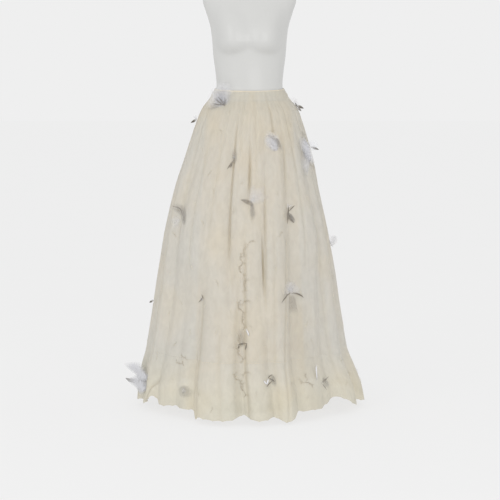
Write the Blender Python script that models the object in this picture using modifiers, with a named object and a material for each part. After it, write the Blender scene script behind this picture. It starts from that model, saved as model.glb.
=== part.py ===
"""A floor-length feather skirt on a white dress form.

Metres, +Z up, the wearer's front at -Y. The origin is the middle of the stand's underside.
The skirt is a waistband, a plain underskirt, a fuller gathered overskirt, a fluted hem flounce
and feather tufts sewn to the overskirt. The form is a hollow torso on a pole and a round base.
"""

import math

import bmesh
import bpy
from mathutils import Vector
from mathutils.bvhtree import BVHTree

# ---------------------------------------------------------------- driving sizes
SEAM_GAP = 0.0003  # between two pieces sewn or resting together
HEM_CLEARANCE = 0.016  # hem to floor
SKIRT_LENGTH = 1.160  # waistband top to hem
WAIST_Z = HEM_CLEARANCE + SKIRT_LENGTH
BAND_DEPTH = 0.030
BAND_WALL = 0.0030
BAND_LAP = 16.0  # degrees by which the band's end laps its start at centre back
BAND_COLUMNS = 64
BAND_HALF_WIDTH = 0.1355  # outer face of the band
BAND_HALF_DEPTH = 0.0925
BAND_TILT = 0.105  # rise towards the back, metres per metre
TILT_FADES_BY = 0.30  # drop at which a ring is level again
OVER_WALL = 0.0012
UNDER_WALL = 0.0010
FLOUNCE_DROP = 0.958  # where the flounce is sewn on, below the waistband's top
OVER_COLUMNS = 120  # cloth facets round the overskirt and flounce
UNDER_COLUMNS = 48
FRONT_PANEL_HALF_DEG = 72.0  # the side seams, from centre front

FORM_WALL = 0.004
UNDERSIDE_DEPTH = 0.012
UNDERSIDE_RECESS = 0.004
FORM_COLUMNS = 28
POLE_RADIUS = 0.0125
POLE_FLANGE_RADIUS = 0.050
POLE_FLANGE_DEPTH = 0.004
BASE_RADIUS = 0.180
BASE_DEPTH = 0.008
BASE_CHAMFER = 0.003
COLLAR_RADIUS = 0.022
COLLAR_HEIGHT = 0.050
TURNED_STEPS = 40

# The overskirt and flounce, ring by ring down from the waistband's top. fold scales the troughs.
SKIRT_SECTIONS = (
    # drop, half_width, half_depth, shift_x, fold
    (0.0303, 0.1345, 0.0915, 0.000, 0.00),
    (0.042, 0.1510, 0.1050, 0.000, 0.10),
    (0.070, 0.1740, 0.1330, 0.001, 0.16),
    (0.120, 0.1955, 0.1600, -0.001, 0.22),
    (0.200, 0.2235, 0.1930, -0.003, 0.30),
    (0.320, 0.2640, 0.2340, -0.006, 0.40),
    (0.460, 0.3030, 0.2740, -0.010, 0.50),
    (0.620, 0.3350, 0.3100, -0.010, 0.60),
    (0.790, 0.3630, 0.3400, -0.011, 0.70),
    (0.958, 0.3890, 0.3660, -0.011, 0.80),
    (1.020, 0.4100, 0.3800, -0.008, 0.92),
    (1.095, 0.4300, 0.3950, -0.001, 1.00),
    (1.160, 0.4400, 0.4020, 0.003, 1.06),
)

# Troughs between the skirt's rounded folds. Angles run from centre front, positive to +X.
# low_deg is the place at the hem, top_deg at the waist, depth is at the hem, and the trough
# grows from the drop at starts and is spent by the drop at ends.
TROUGHS = (
    # low_deg, top_deg, depth, width_deg, starts, ends
    (-61.0, -50.0, 0.034, 6.0, 0.10, 9.0),
    (-45.0, -40.0, 0.056, 13.0, 0.55, 9.0),
    (-32.0, -24.0, 0.034, 4.4, 0.62, 9.0),
    (-5.5, -17.5, 0.032, 4.0, 0.02, 0.86),
    (-3.5, -1.5, 0.040, 4.0, 0.60, 9.0),
    (0.5, 0.5, 0.024, 3.8, 0.10, 0.50),
    (4.0, 18.0, 0.026, 3.8, 0.05, 0.86),
    (12.5, 12.5, 0.036, 4.4, 0.72, 9.0),
    (26.5, 35.0, 0.042, 4.8, 0.12, 9.0),
    (45.0, 46.0, 0.054, 13.0, 0.50, 9.0),
    (52.5, 60.0, 0.030, 5.0, 0.03, 9.0),
    (74.0, 76.0, 0.036, 6.0, 0.08, 9.0),
    (94.0, 90.0, 0.044, 6.5, 0.20, 9.0),
    (112.0, 108.0, 0.036, 5.5, 0.05, 0.90),
    (121.0, 124.0, 0.046, 6.0, 0.40, 9.0),
    (141.0, 140.0, 0.042, 5.5, 0.04, 9.0),
    (160.0, 158.0, 0.044, 6.0, 0.10, 9.0),
    (180.0, 180.0, 0.038, 5.0, 0.03, 9.0),
    (-160.0, -164.0, 0.042, 6.0, 0.06, 9.0),
    (-141.0, -144.0, 0.046, 5.0, 0.25, 9.0),
    (-126.0, -122.0, 0.036, 6.5, 0.04, 0.95),
    (-110.0, -106.0, 0.046, 6.0, 0.35, 9.0),
    (-93.0, -88.0, 0.036, 5.5, 0.05, 9.0),
    (-77.0, -72.0, 0.034, 6.0, 0.30, 9.0),
)
HEM_LIFT = 0.42  # the hem rises by this share of a trough's depth

# The underskirt hangs inside every trough.
UNDER_SECTIONS = (
    # drop, half_width, half_depth
    (0.0303, 0.1318, 0.0887),
    (0.070, 0.1560, 0.1140),
    (0.140, 0.1670, 0.1320),
    (0.260, 0.1750, 0.1440),
    (0.460, 0.1840, 0.1550),
    (0.700, 0.1930, 0.1650),
    (0.958, 0.2030, 0.1740),
    (1.135, 0.2100, 0.1800),
)

# The dress form, from its open underside to the top of the neck.
FORM_SECTIONS = (
    # height, half_width, front, back, bust
    (0.900, 0.1500, 0.0800, 0.1000, 0.0),
    (0.965, 0.1580, 0.0860, 0.1080, 0.0),
    (1.040, 0.1500, 0.0890, 0.1000, 0.0),
    (1.105, 0.1400, 0.0880, 0.0930, 0.0),
    (1.146, 0.1292, 0.0859, 0.0860, 0.0),
    (1.185, 0.1215, 0.0838, 0.0830, 0.0),
    (1.235, 0.1248, 0.0855, 0.0840, 0.0),
    (1.290, 0.1320, 0.0900, 0.0900, 0.25),
    (1.325, 0.1350, 0.0920, 0.0940, 0.85),
    (1.360, 0.1375, 0.0930, 0.0970, 1.0),
    (1.405, 0.1440, 0.0900, 0.1000, 0.62),
    (1.455, 0.1590, 0.0800, 0.0960, 0.18),
    (1.500, 0.1700, 0.0660, 0.0840, 0.0),
    (1.528, 0.1480, 0.0550, 0.0690, 0.0),
    (1.548, 0.1020, 0.0500, 0.0600, 0.0),
    (1.572, 0.0640, 0.0490, 0.0550, 0.0),
    (1.630, 0.0550, 0.0500, 0.0520, 0.0),
    (1.654, 0.0480, 0.0440, 0.0455, 0.0),
    (1.664, 0.0340, 0.0310, 0.0320, 0.0),
)
BUST_FORWARD = 0.030
BUST_DEG = 31.0
BUST_WIDTH_DEG = 21.0

# Feather tufts. heading is where the plumes point, clockwise from up as seen from outside,
# and quill where the dark quill does. spread is the plumes' fan, lift their tips' height.
FEATHERS = (
    # deg, drop, heading, quill, reach, spread, lift
    (-35.0, 0.058, -70.0, 130.0, 0.068, 74.0, 0.020),
    (80.0, 0.064, -36.0, 118.0, 0.046, 60.0, 0.012),
    (-87.0, 0.118, 10.0, 200.0, 0.036, 60.0, 0.012),
    (22.5, 0.210, -10.0, 150.0, 0.056, 66.0, 0.016),
    (-14.0, 0.255, 14.0, 208.0, 0.042, 52.0, 0.008),
    (78.0, 0.228, -115.0, 60.0, 0.080, 60.0, 0.026),
    (3.0, 0.408, 20.0, -56.0, 0.056, 80.0, 0.014),
    (32.0, 0.440, 16.0, 160.0, 0.036, 60.0, 0.010),
    (-56.0, 0.458, -52.0, -150.0, 0.060, 60.0, 0.012),
    (80.0, 0.560, 50.0, 220.0, 0.050, 56.0, 0.030),
    (-28.3, 0.747, 0.0, 182.0, 0.028, 56.0, 0.008),
    (30.0, 0.726, -8.0, 112.0, 0.056, 110.0, 0.018),
    (-80.0, 0.785, -30.0, 170.0, 0.026, 50.0, 0.008),
    (0.0, 0.884, 10.0, 188.0, 0.036, 60.0, 0.010),
    (12.5, 1.012, 40.0, 206.0, 0.036, 60.0, 0.012),
    (44.0, 1.056, 24.0, 150.0, 0.066, 52.0, 0.014),
    (-80.0, 1.052, -52.0, -128.0, 0.070, 88.0, 0.042),
    (-36.0, 1.072, 0.0, 175.0, 0.036, 70.0, 0.008),
    (98.0, 0.150, 20.0, 190.0, 0.050, 60.0, 0.014),
    (128.0, 0.330, -24.0, 150.0, 0.060, 70.0, 0.016),
    (-168.0, 0.300, -34.0, 120.0, 0.062, 74.0, 0.016),
    (-132.0, 0.200, 30.0, 214.0, 0.048, 52.0, 0.012),
    (104.0, 0.560, 36.0, 214.0, 0.062, 60.0, 0.016),
    (146.0, 0.590, -44.0, 130.0, 0.066, 84.0, 0.018),
    (-176.0, 0.640, 22.0, 196.0, 0.048, 56.0, 0.012),
    (-140.0, 0.545, -16.0, 164.0, 0.064, 70.0, 0.018),
    (88.0, 0.860, -30.0, 150.0, 0.050, 66.0, 0.014),
    (124.0, 0.900, 12.0, 190.0, 0.070, 90.0, 0.020),
    (-152.0, 0.840, 34.0, 210.0, 0.060, 70.0, 0.016),
    (-118.0, 1.010, -26.0, 152.0, 0.064, 66.0, 0.016),
    (104.0, 1.080, 30.0, 200.0, 0.054, 60.0, 0.014),
    (150.0, 1.060, -38.0, 144.0, 0.062, 80.0, 0.016),
)
PLUMES_PER_TUFT = 3
PLUME_WIDEST = 0.24  # share of the reach
QUILL_LENGTH = 0.022
QUILL_WIDTH = 0.0030
BLADE_WALL = 0.0012
BLADE_CLEARANCE = 0.0016
BLADE_STATIONS = (
    # along, width: shares of the length and of the widest
    (0.62, 1.00),
    (1.00, 0.25),
)
FACES_OUT = 1.5  # how much more a tuft faces straight out than square to its fold
KNOT_SEAT_RADIUS = 0.0012
KNOT_RADIUS = 0.0035
KNOT_DEPTH = 0.0022
ROOT_HALF_DEG = 11.0  # half a blade's root, as a turn round the knot

IVORY = (0.66, 0.61, 0.50, 1.0)
ORGANZA = (0.70, 0.67, 0.60, 1.0)
DOWN = (0.80, 0.79, 0.77, 1.0)
FORM_WHITE = (0.78, 0.78, 0.77, 1.0)
STEEL_GREY = (0.55, 0.55, 0.56, 1.0)


# ---------------------------------------------------------------- scene, materials
def clear_scene():
    for obj in list(bpy.data.objects):
        bpy.data.objects.remove(obj, do_unlink=True)


def new_collection(name):
    made = bpy.data.collections.new(name)
    bpy.context.scene.collection.children.link(made)
    return made


def finish_of(name, colour, roughness, metallic=0.0):
    made = bpy.data.materials.new(name)
    made.use_nodes = True
    shader = made.node_tree.nodes["Principled BSDF"]
    shader.inputs["Base Color"].default_value = colour
    shader.inputs["Roughness"].default_value = roughness
    shader.inputs["Metallic"].default_value = metallic
    return made


def add_object(name, mesh, collection, material):
    obj = bpy.data.objects.new(name, mesh)
    mesh.materials.append(material)
    collection.objects.link(obj)
    return obj


def object_from(bm, name, collection, material):
    mesh = bpy.data.meshes.new(name)
    bm.to_mesh(mesh)
    bm.free()
    return add_object(name, mesh, collection, material)


def give_wall(obj, wall):
    """Thicken an open surface inwards."""
    shell = obj.modifiers.new("wall", "SOLIDIFY")
    shell.thickness = wall
    shell.offset = -1.0


# ---------------------------------------------------------------- cloth form
def blend_rows(rows, at):
    """The columns of a table at this value of its first column, by a smooth curve through the rows."""
    if at <= rows[0][0]:
        return rows[0][1:]
    for i in range(len(rows) - 1):
        low, high = rows[i], rows[i + 1]
        if at <= high[0]:
            span = high[0] - low[0]
            t = (at - low[0]) / span
            before, after = rows[max(i - 1, 0)], rows[min(i + 2, len(rows) - 1)]
            found = []
            for k in range(1, len(low)):
                start = (high[k] - before[k]) / (high[0] - before[0]) * span
                end = (after[k] - low[k]) / (after[0] - low[0]) * span
                found.append(
                    low[k] * (2 * t**3 - 3 * t**2 + 1)
                    + start * (t**3 - 2 * t**2 + t)
                    + high[k] * (3 * t**2 - 2 * t**3)
                    + end * (t**3 - t**2)
                )
            return found
    return rows[-1][1:]


def turn_between(a, b):
    """Degrees from b to a, the short way round."""
    return (a - b + 180.0) % 360.0 - 180.0


def eased(t):
    t = min(max(t, 0.0), 1.0)
    return t * t * (3.0 - 2.0 * t)


def trough_depth(deg, drop, fold):
    """How far the cloth lies inside its rounded outline."""
    down = drop / SKIRT_LENGTH
    depth = 0.0
    for low_deg, top_deg, deepest, width, starts, ends in TROUGHS:
        middle = top_deg + turn_between(low_deg, top_deg) * down
        away = turn_between(deg, middle) / (width * (1.35 - 0.35 * down))
        grown = eased((drop - starts) / 0.22) * (1.0 - eased((drop - ends + 0.16) / 0.16))
        depth += deepest * grown * math.exp(-abs(away) ** 1.7)
    return depth * fold


def ring_point(deg, drop, half_width, half_depth, shift_x, inside, lift):
    """A point of a ring that drops below the waistband's top, `inside` its outline."""
    turn = math.radians(deg)
    across, along = math.sin(turn), -math.cos(turn)
    x = (half_width - inside) * across + shift_x
    y = (half_depth - inside) * along
    tilt = BAND_TILT * (1.0 - eased((drop - BAND_DEPTH) / TILT_FADES_BY))
    return Vector((x, y, WAIST_Z - drop + tilt * y + lift))


def overskirt_point(deg, drop):
    half_width, half_depth, shift_x, fold = blend_rows(SKIRT_SECTIONS, drop)
    inside = trough_depth(deg, drop, fold)
    near_hem = eased((drop - FLOUNCE_DROP) / (SKIRT_LENGTH - FLOUNCE_DROP))
    return ring_point(
        deg, drop, half_width, half_depth, shift_x, inside, HEM_LIFT * inside * near_hem
    )


def underskirt_point(deg, drop):
    half_width, half_depth = blend_rows(UNDER_SECTIONS, drop)
    return ring_point(deg, drop, half_width, half_depth, 0.0, 0.0, 0.0)


def sheet_of(start_deg, end_deg, rows, columns, point_at):
    """An open sheet from one angle to another with point_at(angle, row) at its corners."""
    bm = bmesh.new()
    bmesh.ops.create_grid(bm, x_segments=columns, y_segments=len(rows) - 1, size=0.5)
    for vert in bm.verts:
        deg = start_deg + (end_deg - start_deg) * (vert.co.x + 0.5)
        row = round((0.5 - vert.co.y) * (len(rows) - 1))
        vert.co = point_at(deg, rows[row])
    return bm


def cloth_panels(prefix, drops, columns, point_at, wall, collection, material):
    """Front, back left and back right panels of one layer, meeting at the seams."""
    gap = math.degrees(SEAM_GAP / point_at(90.0, drops[-1]).length)
    seams = {
        "front": (-FRONT_PANEL_HALF_DEG, FRONT_PANEL_HALF_DEG),
        "back_left": (FRONT_PANEL_HALF_DEG, 180.0),
        "back_right": (-180.0, -FRONT_PANEL_HALF_DEG),
    }
    panels = []
    for side, (start, end) in seams.items():
        count = round(columns * (end - start) / 360.0)
        bm = sheet_of(start + gap, end - gap, drops, count, point_at)
        panel = object_from(bm, f"{prefix}_{side}", collection, material)
        give_wall(panel, wall)
        panels.append(panel)
    return panels


def waistband(collection, material):
    """A straight band round the waist, its end lapped over its start at centre back."""

    def band_point(deg, drop):
        lapped = eased((deg - 180.0 + 1.5 * BAND_LAP) / BAND_LAP)
        inside = -(BAND_WALL + SEAM_GAP) * lapped
        return ring_point(deg, drop, BAND_HALF_WIDTH, BAND_HALF_DEPTH, 0.0, inside, 0.0)

    half_turn = 180.0 + BAND_LAP / 2
    bm = sheet_of(-half_turn, half_turn, (0.0, BAND_DEPTH), BAND_COLUMNS, band_point)
    give_wall(object_from(bm, "waistband", collection, material), BAND_WALL)


# ---------------------------------------------------------------- feathers
class Seat:
    """A place on the cloth, with headings round it clockwise from up."""

    def __init__(self, cloth, deg, drop):
        target = overskirt_point(deg, drop)
        outward = Vector((target.x, target.y, 0.0)).normalized()
        self.cloth = cloth
        self.point, facing = cloth.ray_cast(target + outward * 0.05, -outward)[:2]
        self.normal = (facing + outward * FACES_OUT).normalized()
        self.side = Vector((0, 0, 1)).cross(self.normal).normalized()
        self.up = self.normal.cross(self.side)
        around = max(self.cloth_height(30.0 * i, KNOT_RADIUS) for i in range(12))
        self.rest = around + SEAM_GAP

    def spot(self, heading, distance, height=0.0):
        turn = math.radians(heading)
        along = math.cos(turn) * self.up + math.sin(turn) * self.side
        return self.point + distance * along + height * self.normal

    def cloth_height(self, heading, distance):
        """How high the cloth stands over the seat's own plane."""
        flat = self.spot(heading, distance)
        hit = self.cloth.ray_cast(flat + self.normal * 0.08, -self.normal)[0]
        return 0.0 if hit is None else (hit - flat).dot(self.normal)

    def clear_slope(self, heading, half_deg, length, least):
        """The least slope at which a straight blade clears the cloth under it."""
        steepest = least
        for i in range(1, 13):
            distance = length * 1.04 * i / 12
            for edge in (-half_deg, 0.0, half_deg):
                stands = self.cloth_height(heading + edge, distance) + BLADE_CLEARANCE
                if distance > KNOT_RADIUS:
                    steepest = max(steepest, (stands - self.blade_root()) / distance)
        return steepest

    def blade_root(self):
        return self.rest + KNOT_DEPTH / 2


def blades_of(heading, quill, reach, spread):
    """Each blade's heading, length and width, in order round the knot."""
    found = [(quill % 360.0, QUILL_LENGTH, QUILL_WIDTH)]
    for i in range(PLUMES_PER_TUFT):
        turned = heading + spread * (i / (PLUMES_PER_TUFT - 1) - 0.5)
        found.append((turned % 360.0, reach, reach * PLUME_WIDEST))
    return sorted(found)


def knot(bm, seat, headings):
    """A small disc with one square side face at each blade; returns those faces' corners."""
    edges = [heading + half for heading in headings for half in (-ROOT_HALF_DEG, ROOT_HALF_DEG)]
    bmesh.ops.create_circle(bm, cap_ends=True, segments=len(edges), radius=1.0)
    floor = next(iter(bm.faces))
    lower = [loop.vert for loop in floor.loops]
    bmesh.ops.extrude_face_region(bm, geom=[floor])
    upper = []
    for vert in lower:
        ends = [edge.other_vert(vert) for edge in vert.link_edges]
        upper.append(next(end for end in ends if end not in lower))
    for low, high, edge in zip(lower, upper, edges):
        low.co = seat.spot(edge, KNOT_SEAT_RADIUS, seat.rest)
        high.co = seat.spot(edge, KNOT_RADIUS, seat.rest + KNOT_DEPTH)
    pairs = range(0, len(edges), 2)
    return [(lower[i], lower[i + 1], upper[i + 1], upper[i]) for i in pairs]


def draw_out(bm, corners, spots):
    """Extrude a four-sided face so that each corner's copy lands on its own spot."""
    face = next(f for f in corners[0].link_faces if set(f.verts) == set(corners))
    stood = [vert.co.copy() for vert in corners]
    drawn = bmesh.ops.extrude_discrete_faces(bm, faces=[face])["faces"][0]
    fresh = [min(drawn.verts, key=lambda v, at=at: (v.co - at).length) for at in stood]
    for vert, spot in zip(fresh, spots):
        vert.co = spot
    return fresh


def blade(bm, seat, corners, heading, length, width, least_slope):
    slope = seat.clear_slope(heading, math.degrees(width / length), length, least_slope)
    for along, share in BLADE_STATIONS:
        distance = length * along
        edge = math.degrees(width * share / 2 / distance)
        low = seat.blade_root() + slope * distance
        corners = draw_out(
            bm,
            corners,
            (
                seat.spot(heading - edge, distance, low),
                seat.spot(heading + edge, distance, low),
                seat.spot(heading + edge, distance, low + BLADE_WALL),
                seat.spot(heading - edge, distance, low + BLADE_WALL),
            ),
        )


def settle(bm, cloth, normal):
    """Bring a tuft down to the cloth and leave the seam gap under its lowest point."""
    step = normal * SEAM_GAP / 3
    while cloth.overlap(BVHTree.FromBMesh(bm)):
        bmesh.ops.translate(bm, verts=bm.verts, vec=step)
    while not cloth.overlap(BVHTree.FromBMesh(bm)):
        bmesh.ops.translate(bm, verts=bm.verts, vec=-step)
    bmesh.ops.translate(bm, verts=bm.verts, vec=4 * step)


def tuft(name, deg, drop, heading, quill, reach, spread, lift, cloth, collection, material):
    """A splayed tuft in one body: a knot on the cloth with plumes and a quill drawn out of it."""
    seat = Seat(cloth, deg, drop)
    blades = blades_of(heading, quill, reach, spread)
    bm = bmesh.new()
    roots = knot(bm, seat, [turned for turned, _, _ in blades])
    for corners, (turned, length, width) in zip(roots, blades):
        blade(bm, seat, corners, turned, length, width, lift / reach)
    settle(bm, cloth, seat.normal)
    bmesh.ops.recalc_face_normals(bm, faces=bm.faces)
    object_from(bm, name, collection, material)


# ---------------------------------------------------------------- dress form
def form_point(deg, height):
    half_width, front, back, bust = blend_rows(FORM_SECTIONS, height)
    turn = math.radians(deg)
    across, along = math.sin(turn), -math.cos(turn)
    depth = front if along < 0 else back
    forward = BUST_FORWARD * bust * sum(
        math.exp(-((turn_between(deg, middle) / BUST_WIDTH_DEG) ** 2))
        for middle in (-BUST_DEG, BUST_DEG)
    )
    return Vector((half_width * across, depth * along - forward, height))


def form_torso(collection, material):
    """A hollow torso, open underneath and closed at the top of the neck."""
    heights = [row[0] for row in FORM_SECTIONS]
    bm = sheet_of(0.0, 360.0, heights, FORM_COLUMNS, form_point)
    bmesh.ops.remove_doubles(bm, verts=bm.verts, dist=0.00001)
    rim = [e for e in bm.edges if e.is_boundary and e.verts[0].co.z > heights[-2]]
    bmesh.ops.contextual_create(bm, geom=rim)
    bmesh.ops.recalc_face_normals(bm, faces=bm.faces)
    give_wall(object_from(bm, "form_torso", collection, material), FORM_WALL)


def form_underside(height, collection, material):
    """A flat plate that closes the torso, set inside its wall."""
    rim_height, half_width, front, back = FORM_SECTIONS[0][:4]

    def plate_point(deg, share):
        rim = form_point(deg, rim_height)
        depth = front if rim.y < 0 else back
        outward = Vector((rim.x / half_width**2, rim.y / depth**2, 0.0)).normalized()
        edge = rim - outward * (FORM_WALL + SEAM_GAP)
        return Vector((edge.x * share, edge.y * share, height))

    bm = sheet_of(0.0, 360.0, (0.0, 1.0), FORM_COLUMNS, plate_point)
    bmesh.ops.remove_doubles(bm, verts=bm.verts, dist=0.00001)
    lifted = bmesh.ops.extrude_face_region(bm, geom=bm.faces[:])["geom"]
    for vert in (g for g in lifted if isinstance(g, bmesh.types.BMVert)):
        vert.co.z += UNDERSIDE_DEPTH
    bmesh.ops.recalc_face_normals(bm, faces=bm.faces)
    object_from(bm, "form_underside", collection, material)


def turned(name, profile, collection, material):
    """A turned piece from a profile of (radius, height), listed down its outer side."""
    mesh = bpy.data.meshes.new(name)
    points = [(radius, 0.0, height) for radius, height in profile]
    mesh.from_pydata(points, [(i, i + 1) for i in range(len(points) - 1)], [])
    screw = add_object(name, mesh, collection, material).modifiers.new("turn", "SCREW")
    screw.angle = math.tau
    screw.steps = screw.render_steps = TURNED_STEPS
    screw.use_merge_vertices = True
    screw.merge_threshold = 0.00005
    screw.use_smooth_shade = False


def form_pole(top, collection, material):
    profile = (
        (0.0, top),
        (POLE_FLANGE_RADIUS, top),
        (POLE_FLANGE_RADIUS, top - POLE_FLANGE_DEPTH),
        (POLE_RADIUS, top - POLE_FLANGE_DEPTH),
        (POLE_RADIUS, BASE_DEPTH + SEAM_GAP),
        (0.0, BASE_DEPTH + SEAM_GAP),
    )
    turned("form_pole", profile, collection, material)


def form_base(collection, material):
    """A round plate with a collar that the pole stands in."""
    socket = POLE_RADIUS + SEAM_GAP
    profile = (
        (0.0, BASE_DEPTH),
        (socket, BASE_DEPTH),
        (socket, COLLAR_HEIGHT),
        (COLLAR_RADIUS, COLLAR_HEIGHT),
        (COLLAR_RADIUS, BASE_DEPTH),
        (BASE_RADIUS - BASE_CHAMFER, BASE_DEPTH),
        (BASE_RADIUS, BASE_DEPTH - BASE_CHAMFER),
        (BASE_RADIUS, 0.0),
        (0.0, 0.0),
    )
    turned("form_base", profile, collection, material)


# ---------------------------------------------------------------- the whole object
def tree_of(panels):
    """The panels' outer faces in one tree, to seat the feathers on."""
    points, faces = [], []
    for panel in panels:
        first = len(points)
        panel.data.calc_loop_triangles()
        points += [vert.co.copy() for vert in panel.data.vertices]
        faces += [[first + i for i in tri.vertices] for tri in panel.data.loop_triangles]
    return BVHTree.FromPolygons(points, faces)


def skirt(collection, ivory, organza, down):
    waistband(collection, organza)
    drops = [row[0] for row in SKIRT_SECTIONS]
    over = [drop for drop in drops if drop <= FLOUNCE_DROP]
    low = [FLOUNCE_DROP + SEAM_GAP] + [drop for drop in drops if drop > FLOUNCE_DROP]
    under = [row[0] for row in UNDER_SECTIONS]
    outer = cloth_panels(
        "overskirt", over, OVER_COLUMNS, overskirt_point, OVER_WALL, collection, organza
    )
    outer += cloth_panels(
        "flounce", low, OVER_COLUMNS, overskirt_point, OVER_WALL, collection, organza
    )
    cloth_panels(
        "underskirt", under, UNDER_COLUMNS, underskirt_point, UNDER_WALL, collection, ivory
    )
    cloth = tree_of(outer)
    for i, sizes in enumerate(FEATHERS):
        tuft(f"feather_{i + 1:02d}", *sizes, cloth, collection, down)


def dress_form(collection, white, steel):
    underside = FORM_SECTIONS[0][0] + UNDERSIDE_RECESS
    form_torso(collection, white)
    form_underside(underside, collection, white)
    form_pole(underside - SEAM_GAP, collection, steel)
    form_base(collection, steel)


def main():
    clear_scene()
    part = new_collection("feather_skirt_on_dress_form")
    ivory = finish_of("ivory satin", IVORY, 0.6)
    organza = finish_of("ivory organza", ORGANZA, 0.75)
    down = finish_of("white down", DOWN, 0.9)
    white = finish_of("white gloss form", FORM_WHITE, 0.25)
    steel = finish_of("brushed steel", STEEL_GREY, 0.35, 1.0)
    skirt(part, ivory, organza, down)
    dress_form(part, white, steel)


main()
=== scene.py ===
"""Looks of a floor-length feather skirt on a white dress form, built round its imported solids.

Metres, +Z up, the wearer's front at -Y. Cloth pieces are thin shells on their solids' forms, with
the folds, gathers, embroidery, down and quills that the solids leave out.
"""

import math

import bmesh
import bpy
import numpy as np
from bpy.props import FloatProperty, FloatVectorProperty, IntProperty, PointerProperty
from bpy.types import Operator, Panel, PropertyGroup
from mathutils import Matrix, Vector


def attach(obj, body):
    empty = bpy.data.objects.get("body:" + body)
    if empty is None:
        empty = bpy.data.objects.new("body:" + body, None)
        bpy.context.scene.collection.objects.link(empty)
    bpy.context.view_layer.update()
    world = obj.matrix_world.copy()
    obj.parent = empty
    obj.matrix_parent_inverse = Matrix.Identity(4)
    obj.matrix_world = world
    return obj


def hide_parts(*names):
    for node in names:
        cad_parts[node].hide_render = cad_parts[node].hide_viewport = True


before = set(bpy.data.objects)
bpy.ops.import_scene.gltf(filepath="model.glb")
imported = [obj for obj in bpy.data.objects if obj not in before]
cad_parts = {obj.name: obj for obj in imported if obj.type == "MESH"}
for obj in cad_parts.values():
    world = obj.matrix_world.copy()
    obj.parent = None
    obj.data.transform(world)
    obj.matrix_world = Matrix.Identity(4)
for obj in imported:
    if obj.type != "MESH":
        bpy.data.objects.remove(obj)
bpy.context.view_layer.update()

bl_info = {
    "name": "Feather skirt",
    "version": (1, 0, 0),
    "blender": (4, 5, 0),
    "location": "3D View > Sidebar > Skirt",
    "description": "A gathered organza skirt with feather tufts, on a dress form",
    "category": "Add Mesh",
}

# ---------------------------------------------------------------- sizes of the skirt
BAND_TOP = 1.176  # the waistband's top over the floor
SKIRT_LENGTH = 1.160
BAND_DEPTH = 0.030
BAND_TILT = 0.105  # rise towards the back, metres per metre
TILT_FADES_BY = 0.30
BAND_TOP_HALF_WIDTH = 0.1268
BAND_TOP_HALF_DEPTH = 0.0884
BAND_HALF_WIDTH = 0.1414
BAND_HALF_DEPTH = 0.0984
BAND_WALL = 0.0010
LAP_DEG = 16.0  # how far the waistband's ends lap at centre back
LAP_STEP = 0.0023
ORGANZA_COVER = 0.56  # how much of what lies behind it the organza hides
HEM_COVER = 0.80
FLOUNCE_DROP = 0.958
HEM_LIFT = 0.42  # how far a trough draws the hem up, as a share of its depth
# Places where the hem hangs higher or lower.
HEM_HANG = (
    # deg, rise, width_deg
    (-64, 0.026, 3.6),
    (-29.5, -0.022, 2.6),
    (18, -0.015, 7),
    (34, 0.01, 4),
    (56.5, 0.027, 6.5),
    (96, 0.014, 4),
    (131, -0.01, 5),
    (171, 0.016, 4),
    (-149, -0.01, 5),
    (-118, 0.016, 4),
)
ROOT = "root"

# Rings of the overskirt and flounce, down from the waistband's top.
SKIRT_SECTIONS = (
    # drop, half_width, half_depth, shift_x, fold
    (0.0025, 0.1284, 0.09, 0, 0),
    (0.01, 0.1322, 0.0926, 0, 0),
    (0.02, 0.1392, 0.0974, 0, 0),
    (0.0303, 0.143, 0.1, 0, 0),
    (0.042, 0.1515, 0.106, 0, 0.06),
    (0.07, 0.174, 0.133, 0.001, 0.16),
    (0.12, 0.1955, 0.16, -0.001, 0.22),
    (0.2, 0.2235, 0.193, -0.003, 0.3),
    (0.32, 0.264, 0.234, -0.006, 0.4),
    (0.46, 0.303, 0.274, -0.01, 0.5),
    (0.62, 0.335, 0.31, -0.01, 0.6),
    (0.79, 0.363, 0.34, -0.011, 0.7),
    (0.958, 0.389, 0.366, -0.011, 0.8),
    (1.02, 0.41, 0.38, -0.008, 0.92),
    (1.095, 0.43, 0.395, -0.001, 1),
    (1.16, 0.44, 0.402, 0.003, 1.06),
)

# Rings of the underskirt.
UNDER_SECTIONS = (
    # drop, half_width, half_depth
    (0.0303, 0.1318, 0.0887),
    (0.07, 0.156, 0.114),
    (0.14, 0.167, 0.132),
    (0.26, 0.175, 0.144),
    (0.46, 0.184, 0.155),
    (0.7, 0.193, 0.165),
    (0.958, 0.203, 0.174),
    (1.135, 0.21, 0.18),
)

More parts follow.
